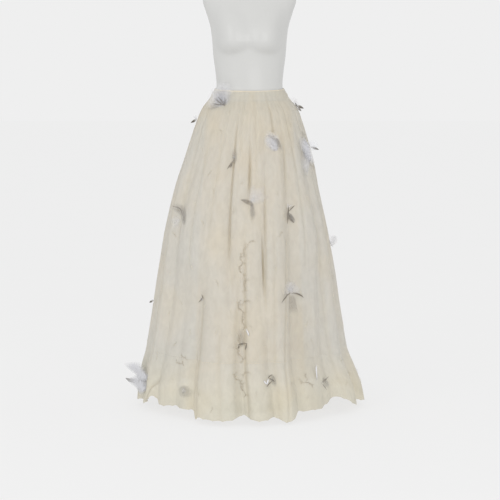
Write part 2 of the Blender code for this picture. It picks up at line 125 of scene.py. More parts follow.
# The large troughs between rounded folds, at the hem and at the waist, in degrees from centre
# front. Depths are at the hem. Each grows from the drop at starts and is spent at ends.
FOLD_GROWS_OVER = 0.22
FOLD_FADES_OVER = 0.16
TROUGH_SHARPNESS = 1.5
TROUGHS = (
    # low_deg, top_deg, depth, width_deg, starts, ends
    (-61, -50, 0.034, 6, 0.1, 9),
    (-45, -40, 0.056, 13, 0.55, 9),
    (-32, -24, 0.034, 4.4, 0.62, 9),
    (-5.5, -17.5, 0.032, 4, 0.02, 0.86),
    (-3.5, -1.5, 0.04, 4, 0.6, 9),
    (0.5, 0.5, 0.024, 3.8, 0.1, 0.5),
    (4, 18, 0.026, 3.8, 0.05, 0.86),
    (12.5, 12.5, 0.036, 4.4, 0.72, 9),
    (26.5, 35, 0.042, 4.8, 0.12, 9),
    (45, 46, 0.054, 13, 0.5, 9),
    (52.5, 60, 0.03, 5, 0.03, 9),
    (74, 76, 0.036, 6, 0.08, 9),
    (94, 90, 0.044, 6.5, 0.2, 9),
    (112, 108, 0.036, 5.5, 0.05, 0.9),
    (121, 124, 0.046, 6, 0.4, 9),
    (141, 140, 0.042, 5.5, 0.04, 9),
    (160, 158, 0.044, 6, 0.1, 9),
    (180, 180, 0.038, 5, 0.03, 9),
    (-160, -164, 0.042, 6, 0.06, 9),
    (-141, -144, 0.046, 5, 0.25, 9),
    (-126, -122, 0.036, 6.5, 0.04, 0.95),
    (-110, -106, 0.046, 6, 0.35, 9),
    (-93, -88, 0.036, 5.5, 0.05, 9),
    (-77, -72, 0.034, 6, 0.3, 9),
)

# Narrow creases that the solids are too coarse for. A depth below zero is a ridge.
CREASE_SHARPNESS = 1.6
CREASES = (
    # low_deg, top_deg, depth, width_deg, starts, ends
    (-9.5, -13.5, 0.008, 0.6, 0.02, 0.66),
    (1.6, 1.6, 0.011, 0.8, 0.12, 0.46),
    (8.4, 16, 0.0065, 0.6, 0.26, 0.82),
    (10.6, 10.6, 0.018, 0.45, 0.46, 0.76),
    (-0.7, -1.2, 0.0065, 0.8, 0.44, 9),
    (-6, -4, 0.003, 1.2, 0.55, 9),
    (15, 39.5, 0.005, 0.7, 0.08, 0.38),
    (18.9, 35.7, 0.0045, 0.8, 0.42, 9),
    (34, 36, 0.005, 5, 0.68, 9),
    (17, 30, -0.004, 2.4, 0.05, 0.5),
    (40, 62, -0.006, 4, 0.36, 1),
    (24, 36, 0.0025, 1.2, 0, 0.42),
    (-28, -27, 0.0048, 0.9, 0.66, 9),
    (-68, 35, 0.012, 0.5, 0.97, 1.3),
    (25.4, 25.4, 0.006, 0.9, -0.1, 0.24),
    (-9, -8, 0.0022, 1.2, -0.12, 0.34),
    (6.5, 7, 0.0022, 1.2, -0.12, 0.42),
    (-24, -26, 0.0028, 1.4, 0.02, 0.6),
    (-36, -42, 0.003, 1.5, 0.1, 0.72),
    (14.5, 21, 0.0028, 1.2, 0.35, 9),
    (38, 46, 0.0034, 1.3, -0.05, 0.7),
    (58, 58, 0.0034, 1.3, 0.3, 9),
    (-48, -60, 0.0034, 1.4, -0.06, 0.66),
    (-14, -18, 0.0034, 1.2, 0.7, 9),
    (66, 68, 0.0036, 1.3, -0.05, 0.56),
    (-69, -66, 0.0036, 1.3, 0.3, 9),
    (84, 82, 0.0044, 1.3, 0, 0.7),
    (102, 100, 0.0044, 1.3, 0.35, 9),
    (116, 114, 0.006, 1, -0.05, 0.62),
    (131, 133, 0.004, 1.3, 0.1, 9),
    (150, 147, 0.006, 0.9, -0.05, 0.8),
    (170, 168, 0.004, 1.2, 0.3, 9),
    (-171, -173, 0.006, 0.9, -0.05, 0.75),
    (-151, -153, 0.004, 1.2, 0.2, 9),
    (-134, -133, 0.006, 0.9, -0.05, 0.66),
    (-118, -114, 0.0044, 1.2, 0.5, 9),
    (-101, -98, 0.005, 1, -0.05, 0.7),
    (-86, -80, 0.0044, 1.3, 0.3, 9),
)

# The dress form, from its open underside to the top of the neck.
FORM_SECTIONS = (
    # height, half_width, front, back
    (0.9, 0.15, 0.08, 0.1),
    (0.965, 0.158, 0.086, 0.108),
    (1.04, 0.15, 0.089, 0.1),
    (1.105, 0.14, 0.088, 0.093),
    (1.146, 0.1292, 0.0859, 0.086),
    (1.185, 0.1215, 0.0838, 0.083),
    (1.235, 0.1248, 0.0855, 0.084),
    (1.29, 0.132, 0.09, 0.09),
    (1.325, 0.135, 0.092, 0.094),
    (1.36, 0.1375, 0.093, 0.097),
    (1.405, 0.144, 0.09, 0.1),
    (1.455, 0.159, 0.08, 0.096),
    (1.5, 0.17, 0.066, 0.084),
    (1.528, 0.148, 0.055, 0.069),
    (1.548, 0.102, 0.05, 0.06),
    (1.572, 0.064, 0.049, 0.055),
    (1.63, 0.055, 0.05, 0.052),
    (1.654, 0.048, 0.044, 0.0455),
    (1.664, 0.034, 0.031, 0.032),
)
FORM_WALL = 0.0038
BUST_FORWARD = 0.032
BUST_SOFTNESS = 0.11  # how gently its edge runs into the ribs and chest
BUST_DEG = 33.0
BUST_OUTER_DEG = 29.0
BUST_INNER_DEG = 36.0
BUST_HEIGHT = 1.346
BUST_UNDER = 0.047  # how far the bust rounds away below its fullest height
BUST_OVER = 0.130  # and above it

SHAFT_STEPS = 12  # stretches that each feather's shaft is drawn in

# Tufts of white down, in the order of their solids: where each is sewn, where it points
# (clockwise from up, seen from outside), its plumes and how they fan out, and each plume's own
# size. Rise is the angle to the cloth, roll the turn about its shaft, fullness how thick it grows.
TUFTS = (
    # deg, drop, heading, plumes, spread, length, width, curl, rise, roll, fullness
    (-35, 0.05, -44, 6, 92, 0.096, 0.056, -10, 14, 0, 0.52),
    (84, 0.058, -24, 3, 60, 0.036, 0.03, 10, 34, 60, 0.4),
    (-88, 0.112, 10, 2, 40, 0.024, 0.014, 20, 34, 70, 0.8),
    (25.6, 0.214, -22, 3, 30, 0.08, 0.046, 14, 9, 0, 0.75),
    (-12, 0.248, -20, 2, 14, 0.022, 0.008, 10, 8, 0, 0.6),
    (76, 0.192, -146, 4, 64, 0.098, 0.092, -12, 6, 0, 1.15),
    (2.5, 0.402, 36, 3, 56, 0.074, 0.04, 10, 5, 0, 0.4),
    (31.6, 0.424, 24, 2, 50, 0.022, 0.007, 10, 10, 0, 0.8),
    (-56, 0.468, -130, 2, 40, 0.048, 0.034, 20, 4, 0, 0.35),
    (84, 0.576, 4, 2, 24, 0.05, 0.034, 10, 28, 80, 0.9),
    (-28.5, 0.75, 10, 2, 60, 0.02, 0.008, 20, 10, 0, 0.6),
    (29, 0.722, -2, 4, 140, 0.046, 0.052, 0, 4, 0, 0.45),
    (-84, 0.785, -30, 2, 50, 0.012, 0.007, 0, 30, 70, 0.8),
    (1.4, 0.862, -12, 2, 10, 0.03, 0.005, -35, 10, 0, 1.6),
    (10, 1.036, -8, 2, 50, 0.026, 0.007, 10, 10, 0, 2.2),
    (41.6, 1.044, 4, 2, 5, 0.078, 0.007, 26, 8, 0, 1.6),
    (-68, 1.1, -84, 2, 20, 0.07, 0.04, 0, 16, 0, 0.6),
    (-37, 1.072, 175, 2, 20, 0.03, 0.02, 0, 5, 0, 0.3),
    (110, 0.15, 20, 3, 50, 0.05, 0.03, 20, 12, 0, 0.9),
    (128, 0.33, -24, 4, 60, 0.06, 0.036, -30, 12, 0, 0.9),
    (-168, 0.3, -34, 4, 64, 0.062, 0.038, 30, 10, 0, 1),
    (-132, 0.2, 30, 2, 30, 0.048, 0.03, 40, 12, 0, 0.9),
    (104, 0.56, 36, 3, 50, 0.06, 0.034, 30, 12, 0, 0.8),
    (146, 0.59, -44, 4, 80, 0.062, 0.036, -40, 10, 0, 1),
    (-176, 0.64, 22, 2, 40, 0.046, 0.024, 40, 10, 0, 0.9),
    (-140, 0.545, -16, 4, 60, 0.062, 0.036, 30, 12, 0, 0.8),
    (88, 0.86, 74, 3, 40, 0.05, 0.028, -10, 6, 0, 0.8),
    (124, 0.9, 12, 5, 90, 0.066, 0.038, 50, 12, 0, 1),
    (-152, 0.84, 34, 3, 60, 0.058, 0.034, 30, 10, 0, 0.9),
    (-118, 1.01, -26, 4, 56, 0.062, 0.036, -30, 12, 0, 1),
    (104, 1.08, 84, 3, 50, 0.052, 0.03, 10, 8, 0, 0.9),
    (150, 1.06, -38, 4, 80, 0.06, 0.034, 20, 12, 0, 1),
)

# Plumes set apart from their tuft's fan.
LONE_PLUMES = (
    # deg, drop, heading, length, width, curl, rise, roll, fullness
    (-44, 0.04, -52, 0.07, 0.05, -10, 18, 10, 0.75),
    (70, 0.226, -140, 0.12, 0.07, 0, 4, 0, 0.85),
    (82, 0.196, 176, 0.04, 0.046, 0, 50, 80, 0.9),
)

# Broad pointed feathers that stand off the hem, in the down's white darkened to 0.72 as painted shade.
LOBES = (
    # deg, drop, heading, length, width, curl, rise, roll, fullness
    (-67, 1.062, -72, 0.134, 0.066, 0, 28, 0, 1.7),
    (-67, 1.099, -84, 0.112, 0.078, 0, 26, 0, 1.6),
    (-69, 1.082, -82, 0.084, 0.09, 0, 12, 0, 0.5),
)

# Dark coque tips: narrow pointed vanes sewn in with the down.
QUILLS = (
    # deg, drop, heading, length, width, curl, rise, roll, fullness
    (-33, 0.053, -66, 0.05, 0.0048, 10, 30, 0, 0.9),
    (-33.6, 0.052, -38, 0.044, 0.0042, -14, 34, 0, 0.9),
    (-34.2, 0.05, -94, 0.044, 0.0042, 10, 26, 0, 0.8),
    (-33, 0.053, -8, 0.034, 0.0036, 0, 30, 0, 0.9),
    (83.6, 0.061, 172, 0.023, 0.012, 0, 54, 90, 1),
    (83, 0.066, -30, 0.018, 0.01, 0, 20, 60, 0.9),
    (83, 0.066, 186, 0.018, 0.011, 0, 24, 60, 0.9),
    (-88, 0.112, 190, 0.022, 0.012, 20, 40, 70, 1),
    (-89, 0.118, 200, 0.015, 0.008, 0, 60, 80, 0.9),
    (29.6, 0.208, -6, 0.074, 0.016, -80, 12, 0, 0.2),
    (-12.5, 0.25, 208, 0.04, 0.0075, -8, 10, 0, 0.7),
    (-13.5, 0.264, 196, 0.018, 0.0042, 10, 10, 0, 0.9),
    (86, 0.214, 178, 0.028, 0.011, -10, 62, 90, 1),
    (4.2, 0.411, -52, 0.044, 0.018, -26, 10, 0, 0.5),
    (30.2, 0.48, 2, 0.066, 0.0062, 6, 8, 0, 1.2),
    (32, 0.438, 34, 0.03, 0.0048, 10, 16, 0, 1),
    (31.4, 0.446, 156, 0.034, 0.015, 0, 8, 0, 0.5),
    (-46.6, 0.482, -20, 0.108, 0.006, -76, 10, 0, 0.4),
    (-31, 0.756, 54, 0.034, 0.005, -12, 10, 0, 0.9),
    (-26.5, 0.741, -30, 0.018, 0.0042, 0, 10, 0, 0.8),
    (30.5, 0.724, -88, 0.07, 0.0056, -58, 10, 0, 0.9),
    (30.5, 0.724, 90, 0.042, 0.0064, 60, 10, 0, 1),
    (-84, 0.783, 150, 0.014, 0.009, 0, 50, 80, 1),
    (0.6, 0.89, -96, 0.032, 0.0052, -10, 10, 0, 1),
    (0.2, 0.888, 186, 0.028, 0.0052, 10, 8, 0, 1),
    (-4, 0.896, 186, 0.014, 0.0036, 10, 8, 0, 0.9),
    (14, 1.002, -118, 0.022, 0.005, -10, 10, 0, 0.7),
    (11.3, 1.014, 126, 0.024, 0.0052, 0, 8, 0, 0.7),
    (13.5, 1.028, -116, 0.03, 0.0056, -10, 8, 0, 0.7),
    (44.9, 1.066, 64, 0.052, 0.008, 10, 8, 0, 0.42),
    (44.9, 1.066, 150, 0.038, 0.007, 20, 6, 0, 0.42),
    (-77, 1.096, -80, 0.076, 0.022, 0, 37, 0, 0.7),
    (110, 0.155, 190, 0.03, 0.007, 14, 12, 0, 1),
    (110.5, 0.15, 150, 0.024, 0.005, -14, 12, 0, 0.9),
    (128, 0.334, 150, 0.034, 0.009, 20, 12, 0, 0.9),
    (128, 0.326, 96, 0.03, 0.005, 30, 10, 0, 0.9),
    (-168, 0.304, 120, 0.048, 0.009, 40, 8, 0, 0.8),
    (-168.5, 0.3, 160, 0.03, 0.005, -10, 8, 0, 0.9),
    (-132, 0.206, 214, 0.032, 0.006, 14, 10, 0, 1),
    (104, 0.566, 214, 0.036, 0.008, 20, 10, 0, 0.9),
    (104, 0.56, 170, 0.03, 0.005, 14, 10, 0, 0.9),
    (146, 0.594, 118, 0.062, 0.007, 60, 8, 0, 0.9),
    (146, 0.594, -120, 0.042, 0.007, -50, 8, 0, 0.9),
    (-176, 0.646, 196, 0.026, 0.0055, 10, 10, 0, 1),
    (-176, 0.64, 20, 0.022, 0.0045, 10, 10, 0, 0.9),
    (-140, 0.55, 164, 0.038, 0.01, 24, 10, 0, 0.8),
    (-140, 0.545, 206, 0.028, 0.005, -14, 10, 0, 0.9),
    (88, 0.866, 120, 0.028, 0.006, 14, 6, 0, 0.9),
    (124, 0.906, 112, 0.05, 0.008, 40, 8, 0, 0.9),
    (124, 0.906, -112, 0.046, 0.008, -44, 8, 0, 0.9),
    (-152, 0.846, 210, 0.034, 0.007, 14, 10, 0, 0.9),
    (-152, 0.84, 168, 0.028, 0.005, -14, 10, 0, 0.9),
    (-118, 1.016, 152, 0.04, 0.011, 20, 10, 0, 0.8),
    (104, 1.086, 200, 0.03, 0.006, 10, 10, 0, 0.9),
    (104, 1.08, 236, 0.026, 0.005, -10, 10, 0, 0.9),
    (150, 1.066, 144, 0.036, 0.008, 20, 10, 0, 0.9),
)

# Soft grey vanes that lie flat under the down: most are painted shadows of the feathers on the cloth, and
# the rest are grey-brown feathers.
SHADOWS_AND_GREY_VANES = (
    # deg, drop, heading, length, width, curl, rise, roll, fullness
    (-38, 0.046, -112, 0.056, 0.03, 0, 6, 0, 0.4),
    (27.6, 0.168, 178, 0.05, 0.018, -18, 12, 0, 0.6),
    (-11.6, 0.266, -4, 0.062, 0.026, 0, 8, 0, 0.6),
    (70, 0.148, 176, 0.062, 0.028, 0, 3, 0, 0.4),
    (82, 0.262, -160, 0.044, 0.022, 0, 3, 0, 0.5),
    (3.4, 0.402, 174, 0.06, 0.022, 4, 6, 0, 0.9),
    (32.2, 0.442, 158, 0.036, 0.024, 0, 6, 0, 1.2),
    (-47.6, 0.486, -20, 0.108, 0.044, -76, 7, 0, 0.75),
    (31, 0.732, 178, 0.064, 0.13, 0, 3, 0, 0.42),
    (-2, 0.902, -6, 0.064, 0.034, 0, 3, 0, 0.4),
    (13.8, 1.004, 176, 0.044, 0.022, 0, 3, 0, 0.7),
    (48.4, 1.046, 172, 0.054, 0.036, 0, 3, 0, 0.6),
    (-36.6, 1.062, 180, 0.056, 0.074, 0, 3, 0, 0.5),
    (128, 0.34, 176, 0.054, 0.024, 10, 3, 0, 0.8),
    (-168, 0.31, 184, 0.058, 0.026, 0, 3, 0, 0.8),
    (146, 0.6, 176, 0.058, 0.04, 0, 3, 0, 0.6),
    (-140, 0.556, 170, 0.052, 0.024, 0, 3, 0, 0.8),
    (124, 0.91, 178, 0.058, 0.04, 0, 3, 0, 0.6),
    (-118, 1.016, 184, 0.052, 0.026, 0, 3, 0, 0.8),
)

# Sprigs stitched by hand, most of them just to the wearer's right of centre front.
SPRIG_COLUMN = (
    # deg, drop, turn_deg, size
    (-1.2, 0.542, 80, 0.034),
    (-3.6, 0.59, 30, 0.044),
    (-4, 0.622, 10, 0.05),
    (-2.6, 0.665, -8, 0.05),
    (-3, 0.712, 24, 0.052),
    (-4.6, 0.752, 78, 0.04),
    (-3, 0.8, -6, 0.06),
    (-2.4, 0.845, 8, 0.05),
    (-5, 0.905, 14, 0.046),
    (-3.2, 0.96, -4, 0.06),
    (-3.8, 1, 74, 0.036),
    (-4.4, 1.04, -12, 0.05),
    (-3, 1.09, 4, 0.06),
    (-38.5, 0.986, -74, 0.05),
    (-37, 0.962, -64, 0.036),
    (30, 1.028, 134, 0.056),
    (33, 1.04, 20, 0.034),
    (20.5, 0.52, 58, 0.028),
)

SOFTBOXES = (
    # name, place, size, power
    ("key", (-3.0, -4.2, 2.6), 2.6, 43.0),
    ("fill", (1.3, -5.4, 1.7), 3.0, 62.0),
)


# ---------------------------------------------------------------- settings a user would change
def linear(hex_colour):
    """A colour's linear values from its sRGB hex code."""
    code = hex_colour.lstrip("#")
    shares = [int(code[i : i + 2], 16) / 255 for i in (0, 2, 4)]
    return tuple(c / 12.92 if c <= 0.04045 else ((c + 0.055) / 1.055) ** 2.4 for c in shares)


def colour_setting(name, description, hex_colour):
    return FloatVectorProperty(
        name=name, description=description, default=linear(hex_colour), subtype="COLOR", min=0.0, max=1.0
    )


def length_setting(name, description, metres):
    return FloatProperty(name=name, description=description, default=metres, min=0.0, unit="LENGTH")


class SkirtSizes(PropertyGroup):
    organza_wall: length_setting("Organza", "Thickness of the overskirt's cloth", 0.0007)
    satin_wall: length_setting("Satin", "Thickness of the underskirt's cloth", 0.0009)
    gather_depth: length_setting("Gathers", "Depth of the gathers under the waistband", 0.0005)
    crinkle_depth: length_setting("Crinkle", "Depth of the organza's crinkles", 0.0012)
    barb_spacing: length_setting("Barb spacing", "Spacing of the barbs along a plume", 0.00055)
    sprig_spacing: length_setting("Sprig spacing", "Least distance between sprigs", 0.072)
    sprig_size: length_setting("Sprig size", "Length of an embroidered sprig", 0.026)
    columns: IntProperty(
        name="Columns", description="Cloth facets round the skirt", default=900, min=60
    )


class SkirtColours(PropertyGroup):
    organza: colour_setting("Organza", "Overskirt and flounce", "#DDDAD2")
    satin: colour_setting("Satin", "Underskirt", "#EFD5A0")
    band: colour_setting("Waistband", "Organza-faced waistband", "#E0D8C8")
    thread: colour_setting("Thread", "Embroidered vine", "#BDB4A2")
    pale_thread: colour_setting("Pale thread", "Scattered sprigs", "#C6BFAE")
    down: colour_setting("Down", "White plumes", "#E4E4E8")
    quill: colour_setting("Quill", "Dark feather tips", "#6E675E")
    # the painted shadows under the feathers and the few grey feathers share this colour
    shadow: colour_setting("Grey flue", "Soft grey-brown feathers", "#8F8C87")
    form: colour_setting("Form", "Gel coat of the dress form", "#CACAC8")
    steel: colour_setting("Steel", "Pole and base", "#B9B9BA")
    floor: colour_setting("Floor", "Studio floor and backdrop", "#EFEFEF")


# ---------------------------------------------------------------- the cloth's form
def blend_rows(rows, at):
    """The table's other columns at these values of its first, on a smooth curve through its rows."""
    rows = np.array(rows)
    knots = rows[:, 0]
    at = np.clip(at, knots[0], knots[-1])
    i = np.clip(np.searchsorted(knots, at, side="left") - 1, 0, len(knots) - 2)
    span = knots[i + 1] - knots[i]
    t = (at - knots[i]) / span
    slopes = np.empty_like(rows)
    slopes[1:-1] = (rows[2:] - rows[:-2]) / (knots[2:] - knots[:-2])[:, None]
    slopes[0] = (rows[1] - rows[0]) / (knots[1] - knots[0])
    slopes[-1] = (rows[-1] - rows[-2]) / (knots[-1] - knots[-2])
    parts = (
        (rows[i], 2 * t**3 - 3 * t**2 + 1),
        (slopes[i] * span[..., None], t**3 - 2 * t**2 + t),
        (rows[i + 1], 3 * t**2 - 2 * t**3),
        (slopes[i + 1] * span[..., None], t**3 - t**2),
    )
    found = sum(value * share[..., None] for value, share in parts)
    return np.moveaxis(found, -1, 0)[1:]


def turn_between(a, b):
    """Degrees from b to a, the short way round."""
    return (a - b + 180.0) % 360.0 - 180.0


def eased(t):
    """A smooth rise from 0 to 1 as t does the same."""
    t = np.clip(t, 0.0, 1.0)
    return t * t * (3.0 - 2.0 * t)


def folds_at(table, deg, drop, sharpness):
    """How far the folds of a table take the cloth inwards."""
    down = drop / SKIRT_LENGTH
    depth = np.zeros_like(deg)
    for low_deg, top_deg, deepest, width, starts, ends in table:
        middle = top_deg + turn_between(low_deg, top_deg) * down
        # a fold spans more degrees near the waist, where the ring is smaller
        away = turn_between(deg, middle) / (width * (1.35 - 0.35 * down))
        spent = eased((drop - ends + FOLD_FADES_OVER) / FOLD_FADES_OVER)
        grown = eased((drop - starts) / FOLD_GROWS_OVER) * (1.0 - spent)
        depth += deepest * grown * np.exp(-(np.abs(away) ** sharpness))
    return depth


def gathers_at(deg, drop, depth):
    """Small uneven pleats drawn up into the waistband, which open out lower down."""
    turn = np.radians(deg)
    wander = 1.7 * np.sin(3 * turn + 0.6) + 1.1 * np.sin(7 * turn + 2.0)
    pleats = np.sin(64 * turn + 4 * wander) * (0.7 + 0.3 * np.sin(11 * turn + 1.3))
    finer = np.sin(118 * turn + 6 * wander) * (0.5 + 0.5 * np.sin(9 * turn + 0.4))
    fades = (1.0 - eased((drop - 0.05) / 0.26)) * eased((drop - BAND_DEPTH) / 0.03)
    return depth * fades * (0.7 * pleats + 0.4 * finer)


def waves_at(deg, drop):
    """The slow, slight unevenness of cloth that hangs free."""
    turn = np.radians(deg)
    slow = np.sin(5 * turn + 9 * drop) * np.sin(3 * turn - 4 * drop + 1.0)
    quick = np.sin(23 * turn + 13 * drop) * np.sin(14 * turn - 21 * drop + 2.0)
    return (0.0020 * slow + 0.0006 * quick) * eased((drop - 0.06) / 0.2)


def scallops_at(deg):
    """The flounce's shallow scalloped edge and its uneven hang, measured upwards."""
    turn = np.radians(deg)
    lift = 0.0035 * np.abs(np.sin(36 * turn + 1.5 * np.sin(5 * turn))) ** 0.7
    for middle, rise, width in HEM_HANG:
        lift = lift + rise * np.exp(-((turn_between(deg, middle) / width) ** 2))
    return lift


def ring_points(deg, drop, half_width, half_depth, shift_x, inside, lift):
    """Points of a ring round the form, taken inwards and lifted, and tilted up towards the back."""
    turn = np.radians(deg)
    x = (half_width - inside) * np.sin(turn) + shift_x
    y = -(half_depth - inside) * np.cos(turn)
    tilt = BAND_TILT * (1.0 - eased((drop - BAND_DEPTH) / TILT_FADES_BY))
    return np.stack([x, y, BAND_TOP - drop + tilt * y + lift], axis=-1)


def skirt_points(deg, drop, gather_depth):
    """Points of the overskirt and flounce, with every fold."""
    half_width, half_depth, shift_x, fold = blend_rows(SKIRT_SECTIONS, drop)
    troughs = folds_at(TROUGHS, deg, drop, TROUGH_SHARPNESS) * fold
    creased = folds_at(CREASES, deg, drop, CREASE_SHARPNESS) * eased((drop - BAND_DEPTH) / 0.03)
    inside = troughs + creased + waves_at(deg, drop)
    inside += gathers_at(deg, drop, gather_depth)
    near_hem = eased((drop - FLOUNCE_DROP) / (SKIRT_LENGTH - FLOUNCE_DROP))
    lift = HEM_LIFT * troughs * near_hem + scallops_at(deg) * near_hem**3
    return ring_points(deg, drop, half_width, half_depth, shift_x, inside, lift)


def underskirt_points(deg, drop):
    """Points of the slim underskirt, with its soft ripples."""
    half_width, half_depth = blend_rows(UNDER_SECTIONS, drop)
    turn = np.radians(deg)
    ripple = 0.006 * eased((drop - 0.2) / 0.6) * np.sin(19 * turn + 1.2 * np.sin(4 * turn))
    return ring_points(deg, drop, half_width, half_depth, 0.0, 0.006 + ripple, 0.0)


def waistband_points(deg, drop):
    """Points of the waistband, whose far end steps in under its near end where they lap."""
    lapped = eased((deg - 180.0 + 1.5 * LAP_DEG) / LAP_DEG)
    down = eased(drop / BAND_DEPTH)
    half_width = BAND_TOP_HALF_WIDTH + (BAND_HALF_WIDTH - BAND_TOP_HALF_WIDTH) * down
    half_depth = BAND_TOP_HALF_DEPTH + (BAND_HALF_DEPTH - BAND_TOP_HALF_DEPTH) * down
    return ring_points(deg, drop, half_width, half_depth, 0.0, LAP_STEP * lapped, 0.0)


def form_points(deg, height):
    """Points of the torso, with a bust whose edges run softly into it."""
    half_width, front, back = blend_rows(FORM_SECTIONS, height)
    turn = np.radians(deg)
    across, along = np.sin(turn), -np.cos(turn)
    depth = np.where(along < 0, front, back)
    rise = height - BUST_HEIGHT
    level = np.where(rise < 0, rise / BUST_UNDER, rise / BUST_OVER)
    forward = np.zeros_like(deg)
    for side in (-1.0, 1.0):
        outwards = side * turn_between(deg, side * BUST_DEG)
        sideways = outwards / np.where(outwards > 0, BUST_OUTER_DEG, BUST_INNER_DEG)
        within = 1.0 - sideways**2 - level**2
        forward += BUST_FORWARD * (within + np.sqrt(within**2 + BUST_SOFTNESS)) / 2
    return np.stack([half_width * across, depth * along - forward, height], axis=-1)


# ---------------------------------------------------------------- mesh helpers
def linked(name, data):
    """A new object in the scene."""
    obj = bpy.data.objects.new(name, data)
    bpy.context.scene.collection.objects.link(obj)
    return obj


def poured(bm, mesh):
    """A mesh that takes up what was built in bm."""
    bm.to_mesh(mesh)
    bm.free()
    return mesh


def tube_mesh(name, degs, rows, points_at):
    """A closed tube through points_at(angles, rows), facing out, with a UV map in metres of cloth."""
    deg, row = np.meshgrid(degs, rows)
    points = points_at(deg, row)
    high, wide = deg.shape
    mesh = bpy.data.meshes.new(name)
    index = np.arange(high * wide).reshape(high, wide)
    right = np.roll(index, -1, axis=1)
    quads = np.stack([index[1:], right[1:], right[:-1], index[:-1]], axis=-1).reshape(-1, 4)
    mesh.from_pydata(points.reshape(-1, 3), [], quads.tolist())
    across = np.linalg.norm(points[-1] - np.roll(points[-1], 1, axis=0), axis=-1)
    u = np.concatenate([[0.0], np.cumsum(across)])
    columns = np.arange(wide)
    around = np.stack([columns, columns + 1, columns + 1, columns], axis=-1)
    corner_u = np.tile(u[around][None], (high - 1, 1, 1))
    v = np.asarray(rows)
    corner_v = np.stack([v[1:], v[1:], v[:-1], v[:-1]], axis=-1)[:, None, :]
    corner_v = np.broadcast_to(corner_v, corner_u.shape)
    uv = mesh.uv_layers.new(name="cut")
    uv.data.foreach_set("uv", np.stack([corner_u, -corner_v], axis=-1).ravel())
    mesh.shade_smooth()
    return mesh


def edged(rows):
    """The rows with one more just inside each edge, so that only the edge's own line turns."""
    return np.concatenate([rows[:1], rows[:1] + 0.0005, rows[1:-1], rows[-1:] - 0.0005, rows[-1:]])


def all_round(count):
    """Even angles all the way round, in degrees."""
    return np.arange(count) * 360.0 / count - 180.0


def new_piece(name, mesh, material):
    """An object of this mesh, in this material unless the mesh has its own."""
    if not mesh.materials:
        mesh.materials.append(material)
    return linked(name, mesh)


def give_wall(obj, wall):
    """Thicken a surface inwards."""
    shell = obj.modifiers.new("wall", "SOLIDIFY")
    shell.thickness = wall
    shell.offset = -1.0


def finished(obj, slot, *nodes):
    """Hang a finished piece on the part in place of its solids."""
    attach(obj, ROOT)
    if nodes:
        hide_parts(*nodes)


def made_plain(obj, name, material):
    """A plain mesh object from an object with a live Geometry Nodes modifier."""
    bpy.context.view_layer.update()
    seen = obj.evaluated_get(bpy.context.evaluated_depsgraph_get())
    mesh = bpy.data.meshes.new_from_object(seen)
    mesh.name = name
    bpy.data.objects.remove(obj, do_unlink=True)
    return new_piece(name, mesh, material)


def panels(prefix):
    """The solids of a piece that is cut as a front and two backs."""
    return [f"{prefix}_{side}" for side in ("front", "back_left", "back_right")]


# ---------------------------------------------------------------- materials
WHITE = (1.0, 1.0, 1.0)
MULTIPLIED = {"data_type": "RGBA", "blend_type": "MULTIPLY"}


def set_inputs(tree, node, values):
    """Set a node's inputs, and link those whose value is another node's output."""
    for key, value in values.items():
        if isinstance(value, bpy.types.NodeSocket):
            tree.links.new(value, node.inputs[key])
        else:
            node.inputs[key].default_value = value


def add_node(tree, kind, out=None, inputs=None, stops=(), **settings):
    """A node with its settings, inputs and colour stops; only its output of that name if out is given."""
    node = tree.nodes.new(kind)
    for key, value in settings.items():
        setattr(node, key, value)
    set_inputs(tree, node, inputs or {})
    if stops:
        elements = node.color_ramp.elements
        while len(elements) < len(stops):
            elements.new(0.5)
        for element, (place, colour) in zip(elements, stops):
            element.position = place
            element.color = (*colour, 1.0)
    return node if out is None else node.outputs[out]


def new_material(name):
    """A material with its principled shader, ready for its pattern."""
    made = bpy.data.materials.new(name)
    made.use_nodes = True
    return made, made.node_tree, made.node_tree.nodes["Principled BSDF"]


def tone(colour, share):
    """A colour made lighter or darker, by one share or by one for each channel."""
    return tuple(min(c * s, 1.0) for c, s in zip(colour, np.broadcast_to(share, 3)))


def toned(tree, pattern, colour, *stops):
    """A colour that a pattern makes lighter or darker, through (place, share) stops."""
    tones = [(place, tone(colour, share)) for place, share in stops]
    return add_node(tree, "ShaderNodeValToRGB", "Color", {"Fac": pattern}, tones)


def mottled(tree, colour, scale, detail, *stops):
    """A colour that drifts softly lighter and darker over the piece."""
    place = add_node(tree, "ShaderNodeTexCoord", "Object")
    drift = {"Vector": place, "Scale": scale, "Detail": detail}
    return toned(tree, add_node(tree, "ShaderNodeTexNoise", "Fac", drift), colour, *stops)


